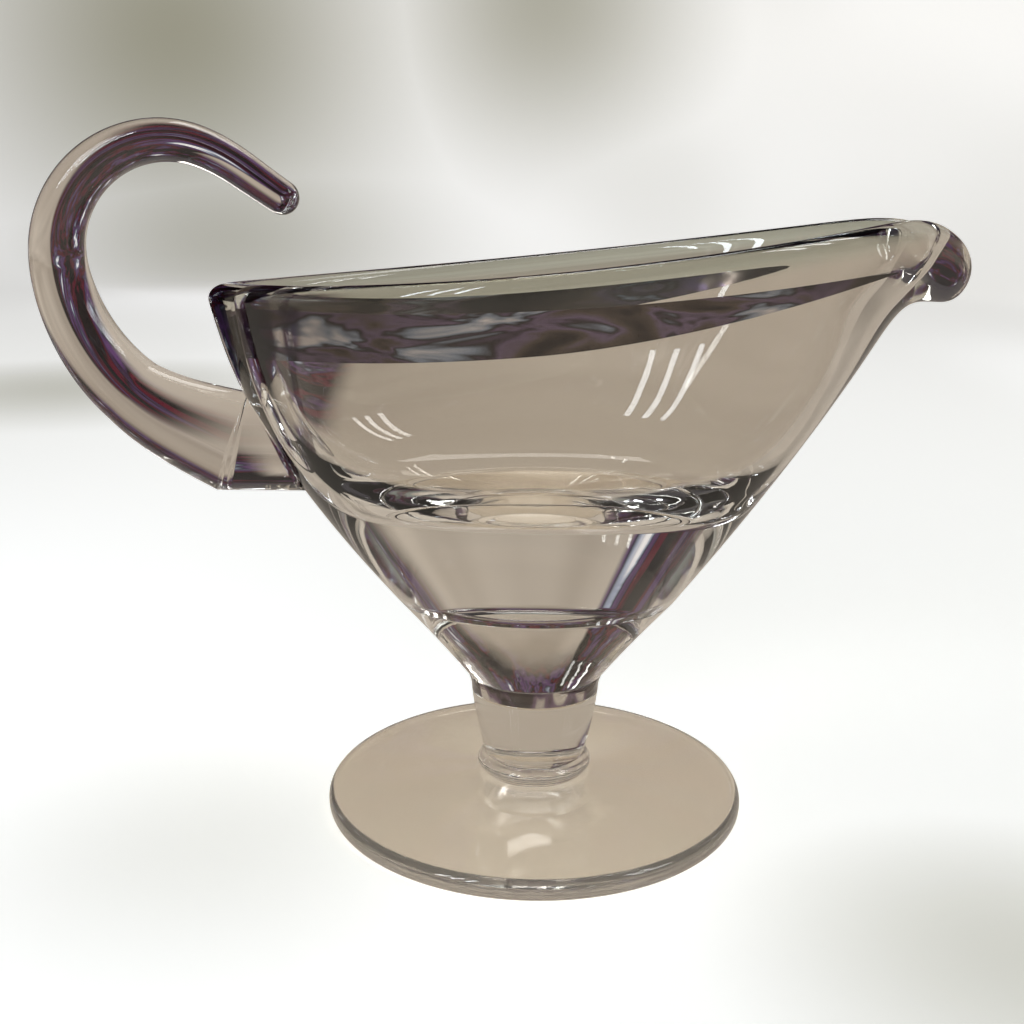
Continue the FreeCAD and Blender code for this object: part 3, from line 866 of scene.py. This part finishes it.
class SAUCEBOAT_OT_foot(bpy.types.Operator):
    """Turn the round foot"""

    bl_idname = "sauceboat.foot"
    bl_label = "Foot"

    def execute(self, context):
        s = context.scene.sauce_boat_sizes
        edge, turn, top = s.foot_diameter / 2, s.foot_edge_round, FOOT_HIGH.z
        slant = turn * (1 - math.sqrt(0.5))
        seat, joint, thick = COLLAR_HIGH.x, STEM_LOW_RADIUS, s.foot_edge_height
        half_way = (edge * FOOT_HOLLOW_HALF_WAY[0], s.foot_kick * FOOT_HOLLOW_HALF_WAY[1])
        sag = ((edge + seat) / 2, thick + (top - thick) * FOOT_SAG)
        rest = (edge * FOOT_HOLLOW_REACH, 0.0)
        under = arc_points((INNERMOST_RADIUS, s.foot_kick), half_way, rest, UNDER_STEPS)
        low = arc_points((edge - turn, 0), (edge - slant, slant), (edge, turn), EDGE_STEPS)
        inner = (edge - turn, thick)
        high = arc_points((edge, thick - turn), (edge - slant, thick - slant), inner, EDGE_STEPS)
        hollow = arc_points(inner, sag, (seat, top), TOP_STEPS)
        joint_rows = np.array([[joint, top], [joint * 0.5, top]])
        profile = np.concatenate([under, low, high, hollow[1:], joint_rows])
        flat_from = len(profile) - 3
        piece = closed_piece("glass_foot", turned(profile, FOOT_SIDES), smooth_rows=(0, flat_from))
        piece.data.materials.append(glass_kinds()["Foot Glass"])
        piece.data.materials.append(fused_face())
        for face in piece.data.polygons:
            if face.center.z > top - 1e-6 and face.center.xy.length < joint:
                face.material_index = 1
        stand_for(piece, GLASS_SLOT, "foot")
        return {"FINISHED"}


class SAUCEBOAT_OT_shank(bpy.types.Operator):
    """Turn the collar, the stem and the wafer between foot and bowl"""

    bl_idname = "sauceboat.shank"
    bl_label = "Shank"

    def execute(self, context):
        tree = turned_tree()
        bulge = COLLAR_HIGH.x - STEM_LOW_RADIUS
        shapes = (
            ("glass_collar", "stem_collar", "Solid Glass", STEM_LOW_RADIUS, STEM_LOW_RADIUS, bulge),
            ("glass_stem", "stem", "Solid Glass", STEM_LOW_RADIUS, STEM_HIGH_RADIUS, STEM_BELLY),
            ("glass_wafer", "neck_wafer", "Joint Painted Shade Glass", STEM_HIGH_RADIUS, WAFER_HIGH_RADIUS, WAFER_WAIST),
        )
        heights = ((COLLAR_LOW, COLLAR_HIGH), (STEM_LOW, STEM_HIGH), (WAFER_LOW, WAFER_HIGH))
        for (name, cad, glass, bottom, top, bulge), (low, high) in zip(shapes, heights):
            values = {
                "Sides": 160, "Steps": 24, "Bottom Radius": bottom, "Top Radius": top, "Bulge": bulge,
                "Bottom Height": low.z, "Top Height": high.z,
                "Glass": glass_kinds()[glass], "Fused Face": fused_face(),
            }
            mesh = run_tree(name, tree, values)
            face_outwards(mesh)
            stand_for(link_piece(name, mesh), GLASS_SLOT, cad)
        return {"FINISHED"}


class SAUCEBOAT_OT_cone(bpy.types.Operator):
    """Shape the solid cone under the bowl"""

    bl_idname = "sauceboat.cone"
    bl_label = "Solid cone"

    def execute(self, context):
        rings = []
        for part in CONE_LEVELS:
            long = between(WAFER_HIGH_RADIUS, (BASE_HIGH.x - BASE_LOW.x) / 2, part**CONE_HOLLOW)
            wide = between(WAFER_HIGH_RADIUS, (BASE_HIGH.y - BASE_LOW.y) / 2, fuller(part, CONE_FULLNESS))
            x, y = leaf(angles(POLES_ROUND), 0, long, long, wide, (1, 1))
            rings.append(np.stack([x, y, np.full_like(x, between(BASE_LOW.z, BASE_HIGH.z, part))], 1))
        turns = ends_dense(CONE_SIDES, CONE_GATHER)
        grid = spline_grid(np.array(rings), turns, np.linspace(0, 1, CONE_ROWS))
        piece = closed_piece("glass_cone", capped(grid, 2), smooth_rows=(1, CONE_ROWS))
        glaze(piece, "Solid Glass")
        stand_for(piece, GLASS_SLOT, "bowl_base")
        return {"FINISHED"}


def handle_line(s, curves):
    """Middle line of the rod, from the tip over the hook and down the leg to the root."""
    rear_rim = rim_height(s, -s.bowl_rear_reach)
    eye = np.array([-s.bowl_rear_reach - EYE_BEYOND_RIM, 0.0, rear_rim + EYE_ABOVE_RIM])
    turns = np.radians(np.linspace(HOOK_FROM, HOOK_TO, HOOK_POINTS))
    hook = [eye + s.hook_radius * np.array([math.cos(t), 0.0, math.sin(t)]) for t in turns]
    run = np.array([math.cos(TIP_SLOPE), 0.0, math.sin(TIP_SLOPE)])
    root_z = curves.base_top + ROOT_LEVEL * (rear_rim - curves.base_top)
    leg = np.array([eye[0] - LEG_OUT, 0.0, root_z + LEG_RISE])
    root = np.array([curves.rear_wall_x(root_z) - ROOT_PAD_DEPTH, 0.0, root_z])
    tip = [hook[0] + run * TIP_RUN, hook[0] + run * (TIP_RUN / 2)]
    line = smooth_path(tip + hook + [leg, root], ROD_POINTS)
    along = (line[0] - line[1]) / np.linalg.norm(line[0] - line[1])
    steps = 1 - np.cos(np.linspace(0, math.pi / 2, TIP_POINTS))
    cap = [line[0] + along * s.rod_radius_at_tip * (1 - step) for step in steps[:-1]]
    return np.concatenate([cap, line])


def root_rings(s, curves, wall, line):
    """Rings of the root pad from the rod's end to the bowl's wall, and the wall's own outline of it."""
    end = line[-1]
    along = (line[-1] - line[-2]) / np.linalg.norm(line[-1] - line[-2])
    up = np.array([-along[2], 0.0, along[0]])
    side = np.array([0.0, 1.0, 0.0])
    seat = np.array([curves.rear_wall_x(end[2]) + ROOT_SINK, 0.0, end[2]])
    rise = 0.001
    lean = np.array([curves.rear_wall_x(end[2] + rise) - curves.rear_wall_x(end[2]), 0.0, rise])
    lean /= np.linalg.norm(lean)
    if lean @ up < 0:
        lean = -lean
    turns = angles(ROOT_SIDES)

    def section(middle, lift, half_height, part):
        """A ring that lies along lift and across, or a smaller one inside it."""
        rise = np.outer(np.cos(turns), lift) * half_height
        reach = np.outer(np.sin(turns), side) * s.rod_root_half_width
        return middle + (rise + reach) * part

    parts = np.linspace(0, 1, ROOT_CAP_ROWS + 1)[1:]
    starts = [section(end, up, s.rod_root_half_height, part) for part in parts]
    ends = [section(seat, lean, ROOT_HALF_HEIGHT, part) for part in parts]

    def land(p, q):
        """Where the way from p to q meets the wall."""
        hit = wall.ray_cast(Vector(p), Vector(q - p).normalized(), WALL_SEARCH)[0]
        return Vector(q) if hit is None else hit

    landed = [np.array([land(p, q) for p, q in zip(a, b)]) for a, b in zip(starts, ends)]
    return starts, landed, end, np.array(land(end, seat))


def bowl_grid(s, curves):
    """Angles, heights and points of the bowl's skin."""
    turns = ends_dense(BOWL_SIDES, BOWL_GATHER)
    heights = np.linspace(0, curves.spans, curves.spans * ROWS_PER_SPAN + 1)
    return turns, heights, curves.grid(turns, heights)


def wall_tree(grid):
    """The bowl's skin as a tree that rays can be cast at."""
    faces = quads(*grid.shape[:2])
    return BVHTree.FromPolygons(grid.reshape(-1, 3).tolist(), faces.tolist())


def snap_to_outline(grid, outline, rows):
    """Moves grid points onto the root's outline where it crosses them; returns how far out each point is."""
    middle = outline.mean(0)
    spokes = np.arctan2(outline[:, 1] - middle[1], outline[:, 2] - middle[2])
    order = np.argsort(spokes)
    reach = np.hypot(outline[:, 1] - middle[1], outline[:, 2] - middle[2])[order]
    spokes = spokes[order]

    def out(points):
        """How far points lie outside the outline, in its radii; negative inside."""
        dy, dz = points[..., 1] - middle[1], points[..., 2] - middle[2]
        edge = np.interp(np.arctan2(dy, dz), spokes, reach, period=2 * math.pi)
        far = np.hypot(dy, dz) / edge - 1.0
        return np.where(points[..., 0] < middle[0] + REAR_ZONE, far, FAR_OUT)

    moved = np.zeros(grid.shape[:2], bool)
    for dr, dc in ((0, 1), (1, 0), (1, 1), (1, -1)):
        here = out(grid)
        for r in range(rows[0], rows[1] - 1):
            for c in np.nonzero(np.abs(here[r]) < OUTLINE_SEARCH)[0]:
                r2, c2 = r + dr, (c + dc) % grid.shape[1]
                g0, g1 = here[r, c], here[r2, c2]
                if g0 * g1 >= 0 or moved[r, c] or moved[r2, c2]:
                    continue
                t = g0 / (g0 - g1)
                cross = grid[r, c] + (grid[r2, c2] - grid[r, c]) * t
                if t < 0.5:
                    grid[r, c], moved[r, c] = cross, True
                else:
                    grid[r2, c2], moved[r2, c2] = cross, True
    return out(grid)


class SAUCEBOAT_OT_bowl(bpy.types.Operator):
    """Shape the leaf-shaped bowl with its rim and pouring lip"""

    bl_idname = "sauceboat.bowl"
    bl_label = "Bowl"

    def execute(self, context):
        s = context.scene.sauce_boat_sizes
        curves = BowlCurves(s)
        turns, heights, grid = bowl_grid(s, curves)
        wall = wall_tree(grid)
        landed = root_rings(s, curves, wall, handle_line(s, curves))[1]
        outline = landed[-1]
        last_outer = int(np.searchsorted(heights, len(curves.outer_shares)))
        out = snap_to_outline(grid, outline, (0, last_outer))
        cap = grid[0].mean(0) + (grid[0] - grid[0].mean(0)) * 0.5
        floor = grid[-1].mean(0) + (grid[-1] - grid[-1].mean(0)) * 0.5
        rings = np.concatenate([[cap], grid, [floor]])
        piece = closed_piece("glass_bowl", rings, smooth_rows=(1, len(rings)))
        mesh = piece.data
        mesh.materials.append(glass_kinds()["Bowl Glass"])
        mesh.materials.append(fused_face())
        middle = outline.mean(0)
        index = np.zeros(len(mesh.polygons), int)
        columns = grid.shape[1]
        side = np.arange(len(mesh.polygons)) < (len(rings) - 1) * columns
        for face in mesh.polygons:
            if not face.use_smooth:
                index[face.index] = 1
            elif side[face.index] and face.center.x < middle[0] + REAR_ZONE:
                rows = [v // columns - 1 for v in face.vertices]
                cols = [v % columns for v in face.vertices]
                if max(rows) < last_outer and min(rows) >= 0:
                    if max(out[r, c] for r, c in zip(rows, cols)) < ON_OUTLINE:
                        index[face.index] = 1
        mesh.polygons.foreach_set("material_index", index)
        stand_for(piece, GLASS_SLOT, "bowl")
        return {"FINISHED"}


def band_edges(s, wall):
    """How far each point of the wall lies below the band's upper edge, and below its lower edge."""
    x = wall[..., 0]
    below = rim_height(s, x) - wall[..., 2]
    along = np.clip((x + s.bowl_rear_reach) / (s.band_point_x + s.bowl_rear_reach), 0, 1)
    far_side = np.clip(wall[..., 1] / (s.bowl_width / 2), 0, 1) ** 0.5
    upper = between(s.band_top_drop, s.band_point_drop, along) - s.band_far_lift * far_side * (1 - along)
    closing = np.clip((along - BAND_CLOSES_FROM) / (1 - BAND_CLOSES_FROM), 0, 1) ** BAND_CLOSING
    lower = between(s.band_top_drop + s.band_height, s.band_point_drop, closing)
    return below - upper, below - lower


def band_slice(s, curves, turn, heights):
    """One slice of the band: down its side in the glass and up its side in the cavity."""
    turns = np.full(len(heights), turn)
    line = curves.line(turns, heights)
    across = curves.line(turns + BAND_STEP, heights) - curves.line(turns - BAND_STEP, heights)
    down = curves.line(turns, heights + BAND_STEP) - curves.line(turns, heights - BAND_STEP)
    normal = np.cross(across, down)
    normal /= np.linalg.norm(normal, axis=1)[:, None]
    inwards = np.array([[s.bowl_widest_x, 0.0, line[0, 2]]]) - line
    normal *= np.sign(np.sum(normal * inwards, axis=1))[:, None]
    cavity_side = line + normal * (s.band_skin - s.band_bite)
    return np.concatenate([line - normal * s.band_bite, cavity_side[::-1]])


class SAUCEBOAT_OT_silver_band(bpy.types.Operator):
    """Lay the silver lustre band on the inner wall"""

    bl_idname = "sauceboat.silver_band"
    bl_label = "Silver band"

    def execute(self, context):
        s = context.scene.sauce_boat_sizes
        curves = BowlCurves(s)
        heights = np.linspace(curves.band_start, curves.band_start + BAND_SPANS, BAND_TRIES)
        turns = np.linspace(0, 2 * math.pi, BAND_SLICES, endpoint=False)
        wall = curves.grid(turns, heights)
        rise, fall = band_edges(s, wall)
        inside = (rise > 0) & (fall < 0) & (wall[..., 0] < s.band_point_x)
        used = [c for c in range(BAND_SLICES) if inside[:, c].any()]
        after_gap = next((i for i in range(1, len(used)) if used[i] != used[i - 1] + 1), 0)
        loop = []
        for c in used[after_gap:] + used[:after_gap]:
            places = np.linspace(crossing(heights, rise[:, c]), crossing(heights, fall[:, c]), BAND_ROWS)
            loop.append(band_slice(s, curves, turns[c], places))
        piece = closed_piece("silver_lustre_band", np.array(loop), smooth_rows=(0, len(loop)))
        piece.data.materials.append(silver_lustre(context.scene.sauce_boat_finishes))
        mark_edges(piece.data)
        stand_for(piece, SILVER_SLOT, "silver_band")
        return {"FINISHED"}


def mark_edges(mesh):
    """Marks the sharp edges of a thin sheet, so that its faces shade flat to each other."""
    work = bmesh.new()
    work.from_mesh(mesh)
    for edge in work.edges:
        if len(edge.link_faces) == 2 and edge.calc_face_angle() > math.radians(40):
            edge.smooth = False
    work.to_mesh(mesh)
    work.free()


def crossing(places, values):
    """Where values pass through zero from below."""
    i = int(np.argmax(values > 0))
    if i == 0:
        return places[0] if values[0] > 0 else places[-1]
    t = -values[i - 1] / (values[i] - values[i - 1])
    return places[i - 1] + (places[i] - places[i - 1]) * t


class SAUCEBOAT_OT_handle(bpy.types.Operator):
    """Draw the handle's rod and press its root on the bowl"""

    bl_idname = "sauceboat.handle"
    bl_label = "Handle"

    def execute(self, context):
        s = context.scene.sauce_boat_sizes
        curves = BowlCurves(s)
        line = handle_line(s, curves)
        path = bpy.data.curves.new("handle_path", "CURVE")
        path.dimensions = "3D"
        spline = path.splines.new("POLY")
        spline.points.add(len(line) - 1)
        spline.points.foreach_set("co", np.column_stack([line, np.ones(len(line))]).ravel())
        values = {
            "Sides": 64, "Tip Radius": s.rod_radius_at_tip, "Top Radius": s.rod_radius_at_top,
            "Back Radius": s.rod_radius_at_back, "Leg Half Height": s.rod_leg_half_height,
            "Leg Half Width": (s.rod_radius_at_back + s.rod_root_half_width) / 2,
            "Root Half Height": s.rod_root_half_height, "Root Half Width": s.rod_root_half_width,
            "Glass": glass_kinds()["Handle Glass"], "Fused Face": fused_face(),
        }
        mesh = run_tree("glass_handle", swept_rod_tree(), values, source=path)
        face_outwards(mesh)
        stand_for(link_piece("glass_handle", mesh), GLASS_SLOT, "handle")
        wall = wall_tree(bowl_grid(s, curves)[2])
        starts, landed, end, foot = root_rings(s, curves, wall, line)
        steps = np.linspace(0, 1, ROOT_STEPS + 1)[1:-1]
        middle_rows = [between(starts[-1], landed[-1], step) for step in steps]
        rings = np.array(starts + middle_rows + landed[::-1])
        sides = (len(starts) - 1, len(starts) + len(middle_rows))
        root = closed_piece("glass_handle_root", rings, start_middle=end, end_middle=foot, smooth_rows=sides)
        glaze(root, "Handle Glass")
        stand_for(root, GLASS_SLOT, "handle_root")
        return {"FINISHED"}


# ---------------------------------------------------------------- stage


# Soft shade on the sweep: middle of each place, its radius and how far it turns to the shade
SHADED_PLACES = (
    ((-0.60, 1.90, 0.38), 0.62, 1.0),
    ((0.00, 2.00, 0.44), 0.42, 0.85),
    ((-0.50, 1.76, 0.04), 0.50, 0.75),
    ((-0.32, 0.58, 0.00), 0.26, 0.70),
    ((0.09, -0.06, 0.00), 0.09, 0.65),
    ((-0.065, -0.02, 0.00), 0.09, 0.35),
)


def soft_spot(tree, place, middle, radius):
    """1 at the middle, falling softly to 0 at the radius."""
    far = node(tree, "ShaderNodeVectorMath", {0: place, 1: middle}, operation="DISTANCE").outputs["Value"]
    return map_range(tree, far, 0.0, radius, 1.0, 0.0, smooth=True)


# Colours of the dim room and of the warm table along a cloud's value, and of the near wall
DIM_ROOM = (
    (0.46, (0.010, 0.008, 0.009)),
    (0.50, (0.11, 0.010, 0.025)),
    (0.52, (0.015, 0.011, 0.012)),
    (0.57, (0.11, 0.05, 0.15)),
    (0.61, (0.03, 0.03, 0.045)),
    (0.65, (0.35, 0.40, 0.52)),
    (0.70, (1.0, 1.0, 1.0)),
)
WARM_TABLE = ((0.35, (0.38, 0.335, 0.28)), (0.65, (0.56, 0.51, 0.44)))
NEAR_WALL = (0.22, 0.24, 0.225)

# Where the room changes, each from one place to the next in metres: it is dark above these heights, and
# beyond these places to the left of a slanted line; the near wall begins at these places and heights
DARK_ABOVE = (0.45, 0.80)
DARK_BEYOND = (0.12, 0.24)
DARK_LEFT = (-0.06, 0.0)
LINE_START, LINE_SLANT = 0.2575, 0.21
NEAR_WALL_FROM = (-0.5, -1.0)
NEAR_WALL_ABOVE = (0.15, 0.35)


def room_colours(tree, place):
    """Colours of the room that the glass bends into view: a warm table, dim beyond and above."""
    dim = ramp(tree, noise(tree, place, 3.0, 3.0, Roughness=0.6), DIM_ROOM)
    spots = node(tree, "ShaderNodeSeparateXYZ", {0: place})
    x, y, z = (spots.outputs[axis] for axis in "XYZ")
    above = map_range(tree, z, *DARK_ABOVE, 0.0, 1.0, smooth=True)
    raised = map_range(tree, z, *NEAR_WALL_ABOVE, 0.0, 1.0, smooth=True)
    nearer = maths(tree, "MULTIPLY", map_range(tree, y, *NEAR_WALL_FROM, 0.0, 1.0, smooth=True), raised)
    lean = maths(tree, "ADD", x, maths(tree, "MULTIPLY", maths(tree, "ADD", y, LINE_START), LINE_SLANT))
    beside = map_range(tree, lean, *DARK_LEFT, 1.0, 0.0, smooth=True)
    beyond = map_range(tree, y, *DARK_BEYOND, 0.0, 1.0, smooth=True)
    dark = maths(tree, "MAXIMUM", above, maths(tree, "MULTIPLY", beside, beyond))
    table = ramp(tree, noise(tree, place, 1.3, 2.0), WARM_TABLE)
    return mix(tree, dark, mix(tree, nearer, table, NEAR_WALL), dim)


def pale_sweep(studio):
    """The pale floor's material: soft shades on a gently lit surface; bent rays see the dim room instead."""
    material = bpy.data.materials.new("Pale Floor")
    material.use_nodes = True
    tree = material.node_tree
    shader = tree.nodes["Principled BSDF"]
    place = object_place(tree)
    inputs = {"Vector": place, "Scale": (1.0, 0.45, 1.0), "Rotation": (0.0, 0.0, 0.9)}
    slanted = node(tree, "ShaderNodeMapping", inputs).outputs[0]
    shaded = map_range(tree, noise(tree, slanted, 1.6, 1.0), 0.62, 0.42, 0.0, 0.22, smooth=True)
    for middle, radius, depth in SHADED_PLACES:
        spot = maths(tree, "MULTIPLY", soft_spot(tree, place, middle, radius), depth)
        shaded = maths(tree, "MAXIMUM", shaded, spot)
    shade = mix(tree, shaded, studio.floor_pale, studio.floor_shade)
    straight = node(tree, "ShaderNodeLightPath").outputs["Is Camera Ray"]
    seen = mix(tree, straight, room_colours(tree, place), shade)
    tree.links.new(seen, shader.inputs["Base Color"])
    tree.links.new(seen, shader.inputs["Emission Color"])
    shader.inputs["Emission Strength"].default_value = 0.67
    shader.inputs["Roughness"].default_value = 0.9
    shader.inputs["Specular IOR Level"].default_value = 0.0
    return material


def area_light(name, place, aim, size, power, shade):
    """A rectangular light that faces a point."""
    data = bpy.data.lights.new(name, "AREA")
    data.shape = "RECTANGLE"
    data.size, data.size_y = size
    data.energy = power
    data.color = shade
    light = bpy.data.objects.new(name, data)
    light.location = place
    light.rotation_euler = (Vector(aim) - Vector(place)).to_track_quat("-Z", "Y").to_euler()
    bpy.context.scene.collection.objects.link(light)
    return light


class SAUCEBOAT_OT_studio(bpy.types.Operator):
    """Lay the pale floor and set the lights and the camera"""

    bl_idname = "sauceboat.studio"
    bl_label = "Studio"

    def execute(self, context):
        studio = context.scene.sauce_boat_studio
        floor, sides = -0.00005, 96
        flat = [[0.05, floor], [0.2, floor], [0.6, floor], [1.5, floor]]
        cove = arc_points((1.6, floor), (1.885, 0.115), (2.0, 0.4), 12)
        profile = np.concatenate([flat, cove, [[2.0, 0.7], [2.0, 1.1], [2.0, 1.6]]])
        points = np.concatenate([turned(profile, sides).reshape(-1, 3), [[0.0, 0.0, floor]]])
        middle = len(points) - 1
        faces = quads(len(profile), sides).tolist()
        faces += [((c + 1) % sides, c, middle) for c in range(sides)]
        mesh = bpy.data.meshes.new("pale_floor")
        mesh.from_pydata(points.tolist(), [], faces)
        mesh.polygons.foreach_set("use_smooth", np.ones(len(faces), bool))
        mesh.materials.append(pale_sweep(studio))
        sweep = link_piece("pale_floor", mesh)
        target = (0.0, 0.0, 0.09)
        for pane in range(3):
            place = (-1.15 + 0.16 * pane, -0.98 - 0.14 * pane, 1.0)
            area_light(f"window_left_{pane}", place, target, (0.06, 0.8), 2.6, (0.84, 0.92, 1.0))
            place = (1.2 - 0.05 * pane, -0.2 - 0.17 * pane, 1.1)
            area_light(f"window_right_{pane}", place, target, (0.07, 0.7), 1.7, (0.98, 0.99, 1.0))
        area_light("soft_top", (0.1, 0.5, 1.5), (0.0, 0.0, 0.05), (0.8, 0.5), 5.0, (1.0, 0.99, 0.97))
        world = bpy.data.worlds.new("Dim Room")
        world.use_nodes = True
        world.node_tree.nodes["Background"].inputs["Color"].default_value = (0.045, 0.04, 0.05, 1.0)
        context.scene.world = world
        camera = bpy.data.objects.new("camera", bpy.data.cameras.new("camera"))
        camera.data.lens = studio.lens
        camera.data.sensor_width = 36.0
        camera.data.clip_start = 0.01
        aim = Matrix.Rotation(studio.camera_yaw, 4, "Z")
        tilt = Matrix.Rotation(math.pi / 2 - studio.camera_pitch, 4, "X")
        roll = Matrix.Rotation(studio.camera_roll, 4, "Z")
        camera.matrix_world = Matrix.Translation(studio.camera_place) @ (aim @ tilt) @ roll
        context.scene.collection.objects.link(camera)
        context.scene.camera = camera
        context.scene.view_settings.view_transform = "Standard"
        context.scene.cycles.max_bounces = 24
        context.scene.cycles.transmission_bounces = 24
        context.scene.cycles.glossy_bounces = 8
        context.scene.cycles.transparent_max_bounces = 24
        return {"FINISHED"}


# ---------------------------------------------------------------- panel and registering


PIECES = (
    SAUCEBOAT_OT_foot,
    SAUCEBOAT_OT_shank,
    SAUCEBOAT_OT_cone,
    SAUCEBOAT_OT_bowl,
    SAUCEBOAT_OT_silver_band,
    SAUCEBOAT_OT_handle,
    SAUCEBOAT_OT_studio,
)


class SAUCEBOAT_PT_panel(bpy.types.Panel):
    """Sizes, finishes and pieces of the sauce boat"""

    bl_idname = "SAUCEBOAT_PT_panel"
    bl_label = "Sauce Boat"
    bl_space_type = "VIEW_3D"
    bl_region_type = "UI"
    bl_category = "Sauce Boat"

    def draw(self, context):
        scene = context.scene
        for group in (scene.sauce_boat_sizes, scene.sauce_boat_finishes, scene.sauce_boat_studio):
            box = self.layout.box()
            for key in group.__annotations__:
                box.prop(group, key)
        for piece in PIECES:
            self.layout.operator(piece.bl_idname)


SETTINGS = (
    ("sauce_boat_sizes", SauceBoatSizes),
    ("sauce_boat_finishes", SauceBoatFinishes),
    ("sauce_boat_studio", SauceBoatStudio),
)


def register():
    for _, group in SETTINGS:
        bpy.utils.register_class(group)
    for made in PIECES + (SAUCEBOAT_PT_panel,):
        bpy.utils.register_class(made)
    for key, group in SETTINGS:
        setattr(bpy.types.Scene, key, PointerProperty(type=group))


def unregister():
    for key, _ in SETTINGS:
        delattr(bpy.types.Scene, key)
    for made in (SAUCEBOAT_PT_panel,) + PIECES[::-1]:
        bpy.utils.unregister_class(made)
    for _, group in SETTINGS[::-1]:
        bpy.utils.unregister_class(group)


def main():
    """Registers the add-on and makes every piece."""
    register()
    for piece in PIECES:
        area, name = piece.bl_idname.split(".")
        getattr(getattr(bpy.ops, area), name)()


if __name__ == "__main__":
    main()
